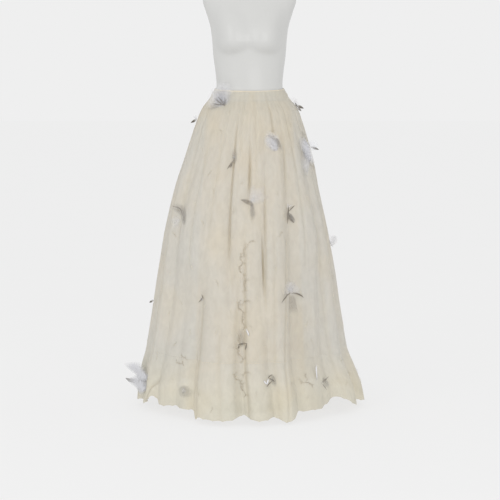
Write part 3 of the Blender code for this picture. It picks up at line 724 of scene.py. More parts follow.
def silk_organza(name, colour, crinkle_depth, cover, hem_cover):
    """Crinkled silk organza: sheer plain weave, so the satin under it warms it, with soft crinkles."""
    made, tree, shader = new_material(name)
    cut = add_node(tree, "ShaderNodeUVMap", "UV", uv_map="cut")
    height = add_node(tree, "ShaderNodeSeparateXYZ", "Y", {"Vector": cut})
    down = add_node(tree, "ShaderNodeMapRange", "Result", {"Value": height, "From Max": -SKIRT_LENGTH})
    # crinkles are about 25 mm apart, with finer ones in them, and half as long again down the cloth
    stretched = add_node(tree, "ShaderNodeMapping", "Vector", {"Vector": cut, "Scale": (1.0, 0.62, 1.0)})
    soft = {"Vector": stretched, "Scale": 1 / 0.025, "Detail": 4.0, "Roughness": 0.55, "Distortion": 0.4}
    crinkle = add_node(tree, "ShaderNodeTexNoise", "Fac", soft)
    # silk takes the light warmer or cooler in patches a hand's span wide, about 220 mm
    patch = add_node(tree, "ShaderNodeTexNoise", "Fac", {"Vector": cut, "Scale": 4.5, "Detail": 2.0})
    tinted = toned(
        tree, patch, colour, (0.34, (0.98, 0.99, 1.00)), (0.50, 1.0), (0.66, (1.02, 1.00, 0.96))
    )
    # painted shade: the colour darkens in the crinkles' hollows, where the bump sinks
    crinkle_shade = toned(tree, crinkle, WHITE, (0.36, 0.972), (0.52, 0.99), (0.66, 1.0))
    # silk yellows where it is gathered and handled, at the waist and along the hem
    ages = (
        (0.03, (1.00, 0.985, 0.94)),
        (0.22, (1.01, 1.00, 0.985)),
        (0.80, WHITE),
        (0.96, (0.95, 0.928, 0.845)),
    )
    aged = add_node(tree, "ShaderNodeValToRGB", "Color", {"Fac": down}, ages)
    for shade_and_age in (crinkle_shade, aged):
        tinted = add_node(tree, "ShaderNodeMix", 2, {"Factor": 1.0, 6: tinted, 7: shade_and_age}, **MULTIPLIED)
    # painted crease shade: the colour turns darker and warmer where the cloth lies deep in a crease,
    # standing for the shade there together with the doubled sheer cloth
    fold = add_node(tree, "ShaderNodeAttribute", "Fac", attribute_name="fold")
    crease_shade_colour = (*tone(colour, (0.80, 0.75, 0.64)), 1.0)
    crease_shaded = add_node(tree, "ShaderNodeMix", 2, {"Factor": fold, 6: tinted, 7: crease_shade_colour}, data_type="RGBA")
    # the flounce is two-ply at its edge, and threads lie closer along a crinkle
    plies = {"Value": down, "From Min": 0.80, "From Max": 0.94, "To Min": cover, "To Max": hem_cover}
    closer = {"Value": crinkle, "From Min": 0.3, "From Max": 0.7, "To Min": 0.95, "To Max": 1.05}
    woven = add_node(tree, "ShaderNodeMapRange", "Result", plies)
    hides = add_node(tree, "ShaderNodeMapRange", "Result", closer)
    sheer = add_node(tree, "ShaderNodeMath", "Value", {0: woven, 1: hides}, operation="MULTIPLY")
    raised = {"Height": crinkle, "Strength": 0.32, "Distance": crinkle_depth}
    bump = add_node(tree, "ShaderNodeBump", "Normal", raised)
    finish = {"Roughness": 0.72, "Specular IOR Level": 0.2, "Sheen Weight": 0.10, "Sheen Roughness": 0.45}
    set_inputs(tree, shader, {"Base Color": crease_shaded, "Alpha": sheer, "Normal": bump, **finish})
    return made


def satin(name, colour):
    """Woven satin: long floats lie flat, so it is smooth, with a soft sheen and a faint slub."""
    made, tree, shader = new_material(name)
    cut = add_node(tree, "ShaderNodeUVMap", "UV", uv_map="cut")
    # slubs are about 1 mm high and 20 mm long, drawn coarse enough to show
    drawn = add_node(tree, "ShaderNodeMapping", "Vector", {"Vector": cut, "Scale": (1.0, 18.0, 1.0)})
    slub = add_node(tree, "ShaderNodeTexNoise", "Fac", {"Vector": drawn, "Scale": 1 / 0.020, "Detail": 2.0})
    tinted = toned(tree, slub, colour, (0.35, 0.96), (0.65, 1.02))
    raised = {"Height": slub, "Strength": 0.25, "Distance": 0.0004}
    bump = add_node(tree, "ShaderNodeBump", "Normal", raised)
    finish = {"Roughness": 0.55, "Sheen Weight": 0.2}
    set_inputs(tree, shader, {"Base Color": tinted, "Normal": bump, **finish})
    return made


def rayon_thread(name, colour):
    """Rayon embroidery thread: twisted and glossy, a shade darker than the cloth."""
    made, tree, shader = new_material(name)
    # painted sheen: the colour lightens and darkens about every 4 mm as the twist would catch the light, far
    # coarser than a real twist, so that it shows
    tinted = mottled(tree, colour, 260.0, 2.0, (0.35, 0.86), (0.65, 1.08))
    set_inputs(tree, shader, {"Base Color": tinted, "Roughness": 0.5, "Sheen Weight": 0.2})
    return made


def vane_pattern(tree):
    """Where a spot is along and across its vane, and streaks that slant like barbs."""
    spot = add_node(tree, "ShaderNodeUVMap", "UV", uv_map="vane")
    split = add_node(tree, "ShaderNodeSeparateXYZ", inputs={"Vector": spot}).outputs
    along = add_node(tree, "ShaderNodeMath", "Value", {0: split["X"]}, operation="FRACT")
    both_ways = {"Value": split["Y"], "To Min": -1.0, "To Max": 1.0}
    across = add_node(tree, "ShaderNodeMapRange", "Result", both_ways)
    edge = add_node(tree, "ShaderNodeMath", "Value", {0: across}, operation="ABSOLUTE")
    slanted = {0: edge, 1: -0.22, 2: split["X"]}
    slant = add_node(tree, "ShaderNodeMath", "Value", slanted, operation="MULTIPLY_ADD")
    # each vane carries about 35 clumps of barbs, coarser than real ones, so that they show
    place = add_node(tree, "ShaderNodeCombineXYZ", "Vector", {"X": slant, "Y": across})
    drawn = add_node(tree, "ShaderNodeMapping", "Vector", {"Vector": place, "Scale": (22.0, 0.8, 1.0)})
    streak = add_node(tree, "ShaderNodeTexNoise", "Fac", {"Vector": drawn, "Scale": 1.6, "Detail": 3.0})
    return along, edge, streak


def vane_cover(tree, cover, *shares):
    """How much a vane hides, thinned by each of these shares and by how full the feather is."""
    full = add_node(tree, "ShaderNodeAttribute", "Fac", attribute_name="fullness")
    for share in (*shares, full):
        cover = add_node(tree, "ShaderNodeMath", "Value", {0: cover, 1: share}, operation="MULTIPLY")
    return cover


def soft_plume(name, colour, thickness):
    """Ostrich flue or a soft goose vane: loose barbs that thin out to nothing at its edges and tip."""
    made, tree, shader = new_material(name)
    along, edge, streak = vane_pattern(tree)
    tinted = toned(tree, streak, colour, (0.35, 0.93), (0.65, 1.03))
    across = toned(tree, edge, WHITE, (0.0, 1.0), (0.5, 0.72), (1.0, 0.0))
    ends = toned(tree, along, WHITE, (0.0, 0.5), (0.15, 1.0), (0.7, 0.85), (1.0, 0.0))
    thick = {"To Min": 0.45 * thickness, "To Max": thickness}
    clumped = {"Value": streak, "From Min": 0.3, "From Max": 0.65, **thick}
    clumps = add_node(tree, "ShaderNodeMapRange", "Result", clumped)
    cover = vane_cover(tree, across, ends, clumps)
    finish = {"Roughness": 0.9, "Sheen Weight": 0.3}
    set_inputs(tree, shader, {"Base Color": tinted, "Alpha": cover, **finish})
    return made


def coque_feather(colour):
    """Stiff coque tip: grey-brown keratin with a slight gloss, dark at the tip, frayed at its edges."""
    made, tree, shader = new_material("coque feather")
    along, edge, streak = vane_pattern(tree)
    shade = toned(tree, along, colour, (0.0, 1.9), (0.35, 1.25), (0.75, 0.8), (1.0, 0.55))
    barred = toned(tree, streak, WHITE, (0.35, 0.75), (0.65, 1.0))
    tinted = add_node(tree, "ShaderNodeMix", 2, {"Factor": 1.0, 6: shade, 7: barred}, **MULTIPLIED)
    reach = {0: streak, 1: 0.9, 2: 0.45}
    frayed = add_node(tree, "ShaderNodeMath", "Value", reach, operation="MULTIPLY_ADD")
    inside = add_node(tree, "ShaderNodeMath", "Value", {0: frayed, 1: edge}, operation="SUBTRACT")
    softened = {"Value": inside, "From Min": -0.15, "From Max": 0.35}
    whole = add_node(tree, "ShaderNodeMapRange", "Result", softened)
    cover = vane_cover(tree, whole, toned(tree, along, WHITE, (0.0, 0.35), (0.45, 1.0)))
    set_inputs(tree, shader, {"Base Color": tinted, "Alpha": cover, "Roughness": 0.5})
    return made


def down_feather(colour):
    """Marabou down: fine loose barbs, white, that glow where light comes through."""
    made, tree, shader = new_material("marabou down")
    # the white drifts over about 8 mm
    tinted = mottled(tree, colour, 120.0, 2.0, (0.30, 0.92), (0.70, 1.04))
    glow = {"Subsurface Weight": 0.3, "Subsurface Radius": (0.004, 0.004, 0.004), "Subsurface Scale": 1.0}
    finish = {"Roughness": 0.85, "Sheen Weight": 0.4}
    set_inputs(tree, shader, {"Base Color": tinted, **finish, **glow})
    return made


def gel_coat(colour):
    """Sprayed gel coat on glass fibre: a smooth white gloss with a very faint orange peel."""
    made, tree, shader = new_material("white gel coat")
    place = add_node(tree, "ShaderNodeTexCoord", "Object")
    # the peel is about 4 mm across, and the coat's thickness drifts over about 70 mm
    peel = add_node(tree, "ShaderNodeTexNoise", "Fac", {"Vector": place, "Scale": 260.0, "Detail": 1.0})
    tinted = mottled(tree, colour, 14.0, 3.0, (0.3, 0.985), (0.7, 1.0))
    raised = {"Height": peel, "Strength": 0.04, "Distance": 0.0003}
    bump = add_node(tree, "ShaderNodeBump", "Normal", raised)
    finish = {"Roughness": 0.24, "Specular IOR Level": 0.15, "Coat Weight": 0.1, "Coat Roughness": 0.12}
    set_inputs(tree, shader, {"Base Color": tinted, "Normal": bump, **finish})
    return made


def brushed_steel(colour):
    """Brushed stainless steel: fine scratches along the brushing blur its reflections."""
    made, tree, shader = new_material("brushed steel")
    place = add_node(tree, "ShaderNodeTexCoord", "Object")
    # scratches are about 0.4 mm apart up the pole, and run about 17 mm round it
    drawn = add_node(tree, "ShaderNodeMapping", "Vector", {"Vector": place, "Scale": (1.0, 1.0, 40.0)})
    scratch = add_node(tree, "ShaderNodeTexNoise", "Fac", {"Vector": drawn, "Scale": 60.0, "Detail": 3.0})
    blurred = {"Value": scratch, "To Min": 0.26, "To Max": 0.42}
    rough = add_node(tree, "ShaderNodeMapRange", "Result", blurred)
    tinted = toned(tree, scratch, colour, (0.3, 0.92), (0.7, 1.0))
    set_inputs(tree, shader, {"Base Color": tinted, "Roughness": rough, "Metallic": 1.0})
    return made


def opal_acrylic(colour):
    """Opal acrylic lit from below: even and pale, so shadows on it stay faint."""
    made, tree, shader = new_material("backlit opal acrylic")
    # the haze drifts over about half a metre
    tinted = mottled(tree, colour, 2.0, 2.0, (0.3, 0.176), (0.7, 0.179))
    lit = {"Emission Color": (*colour, 1.0), "Emission Strength": 0.834}
    finish = {"Roughness": 0.9, "Specular IOR Level": 0.0}
    set_inputs(tree, shader, {"Base Color": tinted, **lit, **finish})
    return made


# ---------------------------------------------------------------- Geometry Nodes
def node_group(name, sockets):
    """A geometry node group, with a geometry in and out and these named inputs."""
    group = bpy.data.node_groups.new(name, "GeometryNodeTree")
    group.interface.new_socket("Geometry", in_out="INPUT", socket_type="NodeSocketGeometry")
    group.interface.new_socket("Geometry", in_out="OUTPUT", socket_type="NodeSocketGeometry")
    for label, kind in sockets.items():
        group.interface.new_socket(label, in_out="INPUT", socket_type=f"NodeSocket{kind}")
    return group, add_node(group, "NodeGroupInput").outputs


def use_group(obj, group, values):
    """Put a node group on an object, with its inputs set by their identifiers."""
    modifier = obj.modifiers.new(group.name, "NODES")
    sockets = {
        item.name: item.identifier
        for item in group.interface.items_tree
        if item.item_type == "SOCKET" and item.in_out == "INPUT"
    }
    modifier.node_group = group
    for label, value in values.items():
        modifier[sockets[label]] = value


def turned_at_random(group, given, rotation, low, high):
    """A rotation turned on by random angles between these two."""
    angles = {"Min": low, "Max": high, "Seed": given["Seed"]}
    chosen = add_node(group, "FunctionNodeRandomValue", "Value", angles, data_type="FLOAT_VECTOR")
    turn = add_node(group, "FunctionNodeEulerToRotation", "Rotation", {"Euler": chosen})
    turned = {"Rotation": rotation, "Rotate By": turn}
    return add_node(group, "FunctionNodeRotateRotation", "Rotation", turned, rotation_space="LOCAL")


def set_copies(group, given, points, rotation, size, least, most):
    """Set copies of the given shape on points, of uneven size, as real mesh in its material."""
    spread = {2: least, 3: most, "Seed": given["Seed"]}
    uneven = add_node(group, "FunctionNodeRandomValue", 1, spread, data_type="FLOAT")
    scale = add_node(group, "ShaderNodeMath", "Value", {0: size, 1: uneven}, operation="MULTIPLY")
    shape = add_node(group, "GeometryNodeObjectInfo", "Geometry", {"Object": given["Shape"]})
    copies = {"Points": points, "Instance": shape, "Rotation": rotation, "Scale": scale}
    placed = add_node(group, "GeometryNodeInstanceOnPoints", "Instances", copies)
    whole = add_node(group, "GeometryNodeRealizeInstances", "Geometry", {"Geometry": placed})
    dyed = {"Geometry": whole, "Material": given["Material"]}
    painted = add_node(group, "GeometryNodeSetMaterial", "Geometry", dyed)
    add_node(group, "NodeGroupOutput", inputs={"Geometry": painted})


def plume_group():
    """Barbs set all round each spine, shorter at its root and tip and leaning towards the tip."""
    sockets = {"Spacing": "Float", "Shape": "Object", "Material": "Material", "Seed": "Int"}
    group, given = node_group("plume barbs", sockets)
    along = {"Curve": given["Geometry"], "Length": given["Spacing"]}
    points = add_node(group, "GeometryNodeCurveToPoints", inputs=along, mode="LENGTH").outputs
    around = turned_at_random(group, given, points["Rotation"], (0.0, 0.0, 0.0), (0.0, 0.0, math.tau))
    leaning = turned_at_random(group, given, around, (-1.0, 0.0, 0.0), (-0.35, 0.0, 0.0))
    length = add_node(group, "GeometryNodeInputRadius", "Radius")
    set_copies(group, given, points["Points"], leaning, length, 0.55, 1.0)
    return group


def sprig_group():
    """Sprigs scattered over cloth, a least distance apart, each lying flat on it."""
    sockets = {"Spacing": "Float", "Size": "Float", "Shape": "Object", "Material": "Material", "Seed": "Int"}
    group, given = node_group("scattered sprigs", sockets)
    apart = {"Distance Min": given["Spacing"], "Density Max": 260.0, "Seed": given["Seed"]}
    strewn = add_node(
        group,
        "GeometryNodeDistributePointsOnFaces",
        inputs={"Mesh": given["Geometry"], **apart},
        distribute_method="POISSON",
    ).outputs
    align = "FunctionNodeAlignRotationToVector"
    out = {"Vector": strewn["Normal"]}
    flat = add_node(group, align, "Rotation", out, axis="Z", pivot_axis="AUTO")
    upwards = {"Rotation": flat, "Vector": (0.0, 0.0, 1.0)}
    facing = add_node(group, align, "Rotation", upwards, axis="Y", pivot_axis="Z")
    turned = turned_at_random(group, given, facing, (0.0, 0.0, -0.9), (0.0, 0.0, 0.9))
    set_copies(group, given, strewn["Points"], turned, given["Size"], 0.6, 1.15)
    return group


# ---------------------------------------------------------------- small shapes that repeat
def barb_mesh():
    """One barb, one unit long along Y, a thin strip that narrows and bends."""
    stations = ((0.0, 0.012), (0.35, 0.018), (0.7, 0.012), (1.0, 0.002))
    points = [(side * width / 2, along, 0.22 * along**2) for along, width in stations for side in (-1, 1)]
    faces = [(i, i + 1, i + 3, i + 2) for i in range(0, 2 * len(stations) - 2, 2)]
    mesh = bpy.data.meshes.new("barb")
    mesh.from_pydata(points, [], faces)
    return mesh


def sprig_mesh(name, sway, waves, width):
    """One embroidered sprig, one unit high along Y: a swaying stem with small leaves."""
    bm = bmesh.new()

    def leaf(x, y, turn, length, width):
        along = Vector((math.sin(turn), math.cos(turn), 0.0))
        side = Vector((along.y, -along.x, 0.0))
        base = Vector((x, y, 0.0))
        spots = (
            base,
            base + along * length * 0.45 + side * width / 2,
            base + along * length,
            base + along * length * 0.45 - side * width / 2,
        )
        rim = [bm.verts.new(spot + Vector((0, 0, 0.006))) for spot in spots]
        crown = bm.verts.new(base + along * length * 0.5 + Vector((0, 0, 0.045)))
        for i in range(4):
            bm.faces.new((rim[i - 1], crown, rim[i]))

    def stem_x(y):
        return sway * math.sin(waves * 2.0 * math.pi * y)

    steps = 18
    for i in range(steps):
        low, high = i / steps, (i + 1) / steps
        across = stem_x(high) - stem_x(low)
        reach = math.hypot(across, high - low)
        leaf(stem_x(low), low, math.atan2(across, high - low), 1.3 * reach, width)
    for y, side in ((0.20, 1), (0.42, -1), (0.64, 1), (0.84, -1)):
        leaf(stem_x(y), y, side * 1.0, 0.24 - 0.10 * y, 2.2 * width)
    bmesh.ops.recalc_face_normals(bm, faces=bm.faces)
    return poured(bm, bpy.data.meshes.new(name))


# ---------------------------------------------------------------- what lies on the cloth
def cloth_spot(deg, drop, height):
    """A point over the organza, with the way out from it."""
    down = np.array([drop], float)
    base = Vector(skirt_points(np.array([deg], float), down, 0.0)[0])
    half_width, half_depth = (float(v[0]) for v in blend_rows(SKIRT_SECTIONS, down)[:2])
    turn = math.radians(deg)
    outward = Vector((math.sin(turn) / half_width, -math.cos(turn) / half_depth, 0.0))
    outward = (outward.normalized() + Vector((0.0, 0.0, 0.12))).normalized()
    return base + outward * height, outward


def vine_mesh(gather_depth):
    """The sprigs of SPRIG_COLUMN, each laid on the cloth point by point."""
    sprig = sprig_mesh("vine", 0.13, 1.1, 0.030)
    shape = np.array([vert.co for vert in sprig.vertices])
    sides = [list(face.vertices) for face in sprig.polygons]
    spots, faces = [], []
    for deg, drop, turn, size in SPRIG_COLUMN:
        middle, outward = cloth_spot(deg, drop, 0.0)
        turned = math.radians(turn)
        across = size * (shape[:, 0] * math.cos(turned) + shape[:, 1] * math.sin(turned))
        along = size * (shape[:, 1] * math.cos(turned) - shape[:, 0] * math.sin(turned))
        degs = deg + np.degrees(across / math.hypot(middle.x, middle.y))
        lying = skirt_points(degs, drop - along, gather_depth)
        lying += np.array(outward) * (0.0008 + size * shape[:, 2:3])
        faces += [[i + len(spots) for i in side] for side in sides]
        spots += lying.tolist()
    mesh = bpy.data.meshes.new("embroidery_vine")
    mesh.from_pydata(spots, [], faces)
    return mesh


def trail(deg, drop, heading, length, curl, rise):
    """A feather's shaft, out over the cloth from where it is sewn; points with the way across."""
    found = []
    height = 0.002
    stride = length / SHAFT_STEPS
    lifted = math.radians(rise)
    for i in range(SHAFT_STEPS + 1):
        point, outward = cloth_spot(deg, min(drop, SKIRT_LENGTH), height)
        if drop > SKIRT_LENGTH:
            point.z -= drop - SKIRT_LENGTH
        turned = math.radians(heading + curl * i / SHAFT_STEPS)
        right = Vector((0, 0, 1)).cross(outward).normalized()
        up = outward.cross(right)
        found.append((point, up * math.sin(turned) - right * math.cos(turned)))
        flat = stride * math.cos(lifted)
        height += stride * math.sin(lifted) + (0.0014 if i < 2 else 0.0)
        drop -= flat * math.cos(turned)
        deg += math.degrees(flat * math.sin(turned) / math.hypot(point.x, point.y))
    return found


def plume_rows():
    """Every white plume's row: its tuft's fan spread out, and the plumes set apart."""
    rows = []
    for k, tuft in enumerate(TUFTS):
        deg, drop, heading, count, spread, reach, width, curl, rise, roll, fullness = tuft
        for i in range(count):
            share = i / (count - 1) - 0.5
            length = reach * (1.0 - 0.3 * abs(share))
            bent = curl * (0.7 + 0.6 * share)
            raised = rise * (0.8 + 0.4 * ((i + k) % 2))
            turned = heading + spread * share
            rows.append((deg, drop, turned, length, width, bent, raised, roll, fullness))
    return (*rows, *LONE_PLUMES)


def plume_spines():
    """The full plumes' spines as one poly curve, its radius holding the barbs' length there."""
    curve = bpy.data.curves.new("plume_spines", "CURVE")
    curve.dimensions = "3D"
    for deg, drop, heading, length, width, curl, rise, roll, fullness in plume_rows():
        if fullness < 0.65 or width > 0.065 or roll > 70.0:
            continue
        spline = curve.splines.new("POLY")
        spline.points.add(SHAFT_STEPS)
        for k, (point, _) in enumerate(trail(deg, drop, heading, length, curl, rise)):
            spline.points[k].co = (*point, 1.0)
            grown = math.sin(math.pi * (0.12 + 0.80 * k / SHAFT_STEPS)) ** 0.6
            spline.points[k].radius = 0.42 * width * grown
    return curve


def vane_mesh(name, rows, rounded):
    """Feather vanes on their shafts; the UV map holds the place along (after the feather's
    number) and across each vane."""
    bm = bmesh.new()
    uv = bm.loops.layers.uv.new("vane")
    full = bm.verts.layers.float.new("fullness")
    across = (-1.0, -0.5, 0.0, 0.5, 1.0)
    root, reach, power = (0.10, 0.82, 0.7) if rounded else (0.14, 0.84, 0.9)
    for number, row in enumerate(rows):
        deg, drop, heading, length, width, curl, rise, roll, fullness = row
        spine = trail(deg, drop, heading, length, curl, rise)
        rolled = math.radians(roll)
        grid = []
        for k, (point, level) in enumerate(spine):
            half = width / 2 * math.sin(math.pi * (root + reach * (k / SHAFT_STEPS))) ** power
            ahead = (spine[min(k + 1, SHAFT_STEPS)][0] - spine[max(k - 1, 0)][0]).normalized()
            flat_over = ahead.cross(level).normalized()
            side = level * math.cos(rolled) + flat_over * math.sin(rolled)
            over = ahead.cross(side).normalized()
            line = [bm.verts.new(point + side * half * v - over * half * 0.35 * v * v) for v in across]
            for vert in line:
                vert[full] = fullness
            grid.append(line)
        for k in range(SHAFT_STEPS):
            for j in range(len(across) - 1):
                corners = ((k, j), (k, j + 1), (k + 1, j + 1), (k + 1, j))
                face = bm.faces.new([grid[a][b] for a, b in corners])
                face.smooth = True
                for loop, (a, b) in zip(face.loops, corners):
                    loop[uv].uv = (number + 0.98 * a / SHAFT_STEPS, (across[b] + 1.0) / 2)
    bmesh.ops.reverse_faces(bm, faces=bm.faces)
    return poured(bm, bpy.data.meshes.new(name))


# ---------------------------------------------------------------- operators
def organza_piece(scene, name, weave, drops):
    """A piece of the organza skirt that keeps how deep each point lies in a crease, for the painted shade in
    its creases.
    """
    sizes = scene.skirt_sizes
    degs = all_round(sizes.columns)
    mesh = tube_mesh(name, degs, drops, lambda deg, drop: skirt_points(deg, drop, sizes.gather_depth))
    deg, drop = np.meshgrid(degs, drops)
    # how deep each point lies in a crease, and a little how deep in a trough, sets how much painted shade
    # its colour takes
    crease = folds_at(CREASES, deg, drop, CREASE_SHARPNESS) / 0.012
    trough = folds_at(TROUGHS, deg, drop, TROUGH_SHARPNESS) / 0.05
    share = np.clip(0.80 * crease + 0.06 * trough, 0.0, 1.0).astype(np.float32)
    mesh.attributes.new("fold", "FLOAT", "POINT").data.foreach_set("value", share.ravel())
    colour = scene.skirt_colours.organza
    organza = silk_organza(weave, colour, sizes.crinkle_depth, ORGANZA_COVER, HEM_COVER)
    cloth = new_piece(name, mesh, organza)
    give_wall(cloth, sizes.organza_wall)
    finished(cloth, "ivory_organza", *panels(name))
    return cloth


class SKIRT_OT_underskirt(Operator):
    """Hang the cream satin underskirt"""

    bl_idname = "skirt.underskirt"
    bl_label = "Underskirt"

    def execute(self, context):
        scene = context.scene
        drops = edged(np.linspace(UNDER_SECTIONS[0][0], UNDER_SECTIONS[-1][0], 90))
        mesh = tube_mesh("underskirt", all_round(240), drops, underskirt_points)
        cloth = new_piece("underskirt", mesh, satin("cream satin", scene.skirt_colours.satin))
        give_wall(cloth, scene.skirt_sizes.satin_wall)
        finished(cloth, "ivory_satin", *panels("underskirt"))
        return {"FINISHED"}


class SKIRT_OT_overskirt(Operator):
    """Gather the organza overskirt and carry it over the waistband, up to its top edge"""

    bl_idname = "skirt.overskirt"
    bl_label = "Overskirt"

    def execute(self, context):
        gathered = np.linspace(SKIRT_SECTIONS[0][0], 0.12, 14)
        hanging = np.linspace(0.12, FLOUNCE_DROP, 35)[1:]
        drops = edged(np.concatenate([gathered, hanging]))
        cloth = organza_piece(context.scene, "overskirt", "crinkled silk organza", drops)
        return {"FINISHED"}


class SKIRT_OT_flounce(Operator):
    """Sew the fluted flounce to the overskirt's edge"""

    bl_idname = "skirt.flounce"
    bl_label = "Flounce"

    def execute(self, context):
        drops = edged(np.linspace(FLOUNCE_DROP + 0.0002, SKIRT_LENGTH, 24))
        cloth = organza_piece(context.scene, "flounce", "two-ply silk organza", drops)
        return {"FINISHED"}


class SKIRT_OT_waistband(Operator):
    """Close the waistband round the top, faced with organza and lapped at the back"""

    bl_idname = "skirt.waistband"
    bl_label = "Waistband"

    def execute(self, context):
        half_turn = 180.0 + LAP_DEG / 2
        degs = np.linspace(-half_turn, half_turn, 300)
        mesh = tube_mesh("waistband", degs, edged(np.linspace(0.0, BAND_DEPTH, 9)), waistband_points)
        bm = bmesh.new()
        bm.from_mesh(mesh)
        bm.faces.ensure_lookup_table()
        closing = [face for i, face in enumerate(bm.faces) if i % len(degs) == len(degs) - 1]
        bmesh.ops.delete(bm, geom=closing, context="FACES")
        faced = silk_organza("organza-faced band", context.scene.skirt_colours.band, 0.0004, 1.0, 1.0)
        band = new_piece("waistband_cloth", poured(bm, mesh), faced)
        give_wall(band, BAND_WALL)
        finished(band, "ivory_organza", "waistband")
        return {"FINISHED"}


class SKIRT_OT_embroidery(Operator):
    """Scatter embroidered sprigs over the organza, and stitch the vine down its front"""

    bl_idname = "skirt.embroidery"
    bl_label = "Embroidery"

    def execute(self, context):
        sizes = context.scene.skirt_sizes
        colours = context.scene.skirt_colours
        pale = rayon_thread("pale rayon thread", colours.pale_thread)
        sprig = linked("sprig", sprig_mesh("sprig", 0.10, 0.5, 0.040))
        drops = np.linspace(0.08, SKIRT_LENGTH - 0.02, 70)

        def points_at(deg, drop):
            return skirt_points(deg, drop, sizes.gather_depth)

        ground = new_piece("sprig_ground", tube_mesh("sprig_ground", all_round(360), drops, points_at), pale)
        spread = {"Spacing": sizes.sprig_spacing, "Size": sizes.sprig_size, "Seed": 7}
        use_group(ground, sprig_group(), {"Shape": sprig, "Material": pale, **spread})
        finished(made_plain(ground, "embroidery", pale), "ivory_organza")
        bpy.data.objects.remove(sprig, do_unlink=True)
        brown = rayon_thread("brown rayon thread", colours.thread)
        finished(new_piece("embroidery_vine", vine_mesh(sizes.gather_depth), brown), "ivory_organza")
        return {"FINISHED"}


class SKIRT_OT_plumes(Operator):
    """Sew on the white down plumes"""

    bl_idname = "skirt.plumes"
    bl_label = "Plumes"

    def execute(self, context):
        scene = context.scene
        down = down_feather(scene.skirt_colours.down)
        barb = linked("barb", barb_mesh())
        spines = linked("plume_spines", plume_spines())
        spacing = scene.skirt_sizes.barb_spacing
        values = {"Spacing": spacing, "Shape": barb, "Material": down, "Seed": 3}
        use_group(spines, plume_group(), values)
        plumes = made_plain(spines, "feather_plumes", down)
        bpy.data.objects.remove(barb, do_unlink=True)
        finished(plumes, "down", *[f"feather_{i + 1:02d}" for i in range(len(TUFTS))])
        flue = soft_plume("white ostrich flue", scene.skirt_colours.down, 0.80)
        finished(new_piece("feather_flue", vane_mesh("feather_flue", plume_rows(), True), flue), "down")
        return {"FINISHED"}


class SKIRT_OT_quills(Operator):
    """Sew on the dark tips, the soft grey vanes under them, most of them painted shadows, and the broad ones
    at the hem
    """

    bl_idname = "skirt.quills"
    bl_label = "Quills"

    def execute(self, context):
        colours = context.scene.skirt_colours
        coque = coque_feather(colours.quill)
        # this grey flue colours the painted shadows under the feathers as well as the grey feathers
        grey = soft_plume("grey ostrich flue", colours.shadow, 0.80)
        # painted shade: the lobes take the down's white darkened to 0.72
        pale = soft_plume("pale goose vane", tone(colours.down, 0.72), 0.95)
        for name, rows, rounded, feather in (
            ("feather_quills", QUILLS, False, coque),
            ("feather_grey", SHADOWS_AND_GREY_VANES, True, grey),
            ("feather_lobes", LOBES, False, pale),
        ):
            finished(new_piece(name, vane_mesh(name, rows, rounded), feather), "down")
        return {"FINISHED"}


class SKIRT_OT_dress_form(Operator):
    """Mould the glossy torso and finish its stand"""

    bl_idname = "skirt.dress_form"
    bl_label = "Dress form"

    def execute(self, context):
        colours = context.scene.skirt_colours
        coat = gel_coat(colours.form)
        heights = np.linspace(FORM_SECTIONS[-1][0], FORM_SECTIONS[0][0], 210)
        mesh = tube_mesh("form_body", all_round(216), heights, form_points)
        bm = bmesh.new()
        bm.from_mesh(mesh)
        rim = [e for e in bm.edges if e.is_boundary and e.verts[0].co.z > 1.6]
        bmesh.ops.contextual_create(bm, geom=rim)
        body = new_piece("form_body", poured(bm, mesh), coat)
        give_wall(body, FORM_WALL)
        finished(body, "form_white", "form_torso")
        steel = brushed_steel(colours.steel)
        for name, finish in (("form_underside", coat), ("form_pole", steel), ("form_base", steel)):
            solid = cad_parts[name]
            solid.data.materials.clear()
            solid.data.materials.append(finish)
        return {"FINISHED"}


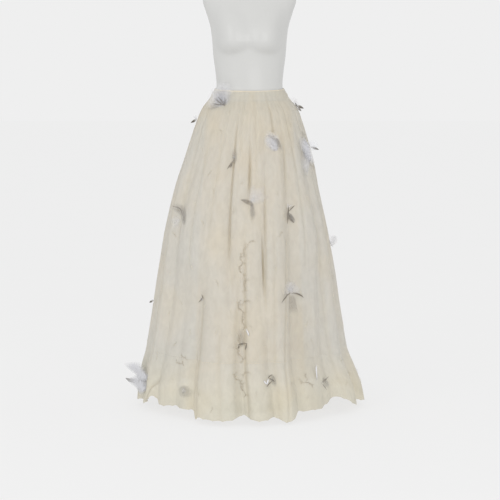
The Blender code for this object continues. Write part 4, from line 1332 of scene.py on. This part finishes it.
class SKIRT_OT_stage(Operator):
    """Lay the studio floor, light it softly and set the camera"""

    bl_idname = "skirt.stage"
    bl_label = "Stage"

    def execute(self, context):
        scene = context.scene
        self.lay_floor(opal_acrylic(scene.skirt_colours.floor))
        self.light(scene)
        self.aim_camera(scene)
        scene.view_settings.view_transform = "Standard"
        return {"FINISHED"}

    def lay_floor(self, acrylic):
        """A wide plain floor."""
        bm = bmesh.new()
        bmesh.ops.create_grid(bm, x_segments=1, y_segments=1, size=60.0)
        mesh = poured(bm, bpy.data.meshes.new("studio_floor"))
        new_piece("studio_floor", mesh, acrylic)

    def light(self, scene):
        """An even pale surround and two large softboxes."""
        world = bpy.data.worlds.new("studio")
        scene.world = world
        world.use_nodes = True
        sky = world.node_tree.nodes["Background"]
        sky.inputs["Color"].default_value = (*scene.skirt_colours.floor, 1.0)
        sky.inputs["Strength"].default_value = 1.0
        for name, place, size, power in SOFTBOXES:
            lamp = bpy.data.lights.new(name, "AREA")
            lamp.size = size
            lamp.energy = power
            obj = linked(name, lamp)
            obj.location = place
            aim = Vector((0.0, 0.0, 0.8)) - Vector(place)
            obj.rotation_euler = aim.to_track_quat("-Z", "Y").to_euler()

    def aim_camera(self, scene):
        """A long lens before the skirt, at the height of its waistband and looking slightly down."""
        lens = bpy.data.cameras.new("camera")
        lens.lens = 101.2
        lens.sensor_width = 36.0
        camera = linked("camera", lens)
        camera.location = (0.002, -5.2, 1.15)
        camera.rotation_euler = (math.radians(90.0 - 6.27), 0.0, 0.0)
        scene.camera = camera


class SKIRT_PT_sidebar(Panel):
    """Sizes, colours and pieces of the skirt"""

    bl_label = "Feather skirt"
    bl_idname = "SKIRT_PT_sidebar"
    bl_space_type = "VIEW_3D"
    bl_region_type = "UI"
    bl_category = "Skirt"

    def draw(self, context):
        for group in (context.scene.skirt_sizes, context.scene.skirt_colours):
            box = self.layout.box()
            for name in group.bl_rna.properties.keys():
                if name not in ("rna_type", "name"):
                    box.prop(group, name)
        for operator in OPERATORS:
            self.layout.operator(operator.bl_idname)


OPERATORS = (
    SKIRT_OT_underskirt,
    SKIRT_OT_overskirt,
    SKIRT_OT_flounce,
    SKIRT_OT_waistband,
    SKIRT_OT_embroidery,
    SKIRT_OT_plumes,
    SKIRT_OT_quills,
    SKIRT_OT_dress_form,
    SKIRT_OT_stage,
)
CLASSES = (SkirtSizes, SkirtColours, *OPERATORS, SKIRT_PT_sidebar)


def register():
    for cls in CLASSES:
        bpy.utils.register_class(cls)
    bpy.types.Scene.skirt_sizes = PointerProperty(type=SkirtSizes)
    bpy.types.Scene.skirt_colours = PointerProperty(type=SkirtColours)


def unregister():
    del bpy.types.Scene.skirt_colours
    del bpy.types.Scene.skirt_sizes
    for cls in reversed(CLASSES):
        bpy.utils.unregister_class(cls)


def main():
    register()
    bpy.ops.skirt.underskirt()
    bpy.ops.skirt.overskirt()
    bpy.ops.skirt.flounce()
    bpy.ops.skirt.waistband()
    bpy.ops.skirt.embroidery()
    bpy.ops.skirt.plumes()
    bpy.ops.skirt.quills()
    bpy.ops.skirt.dress_form()
    bpy.ops.skirt.stage()


if __name__ == "__main__":
    main()
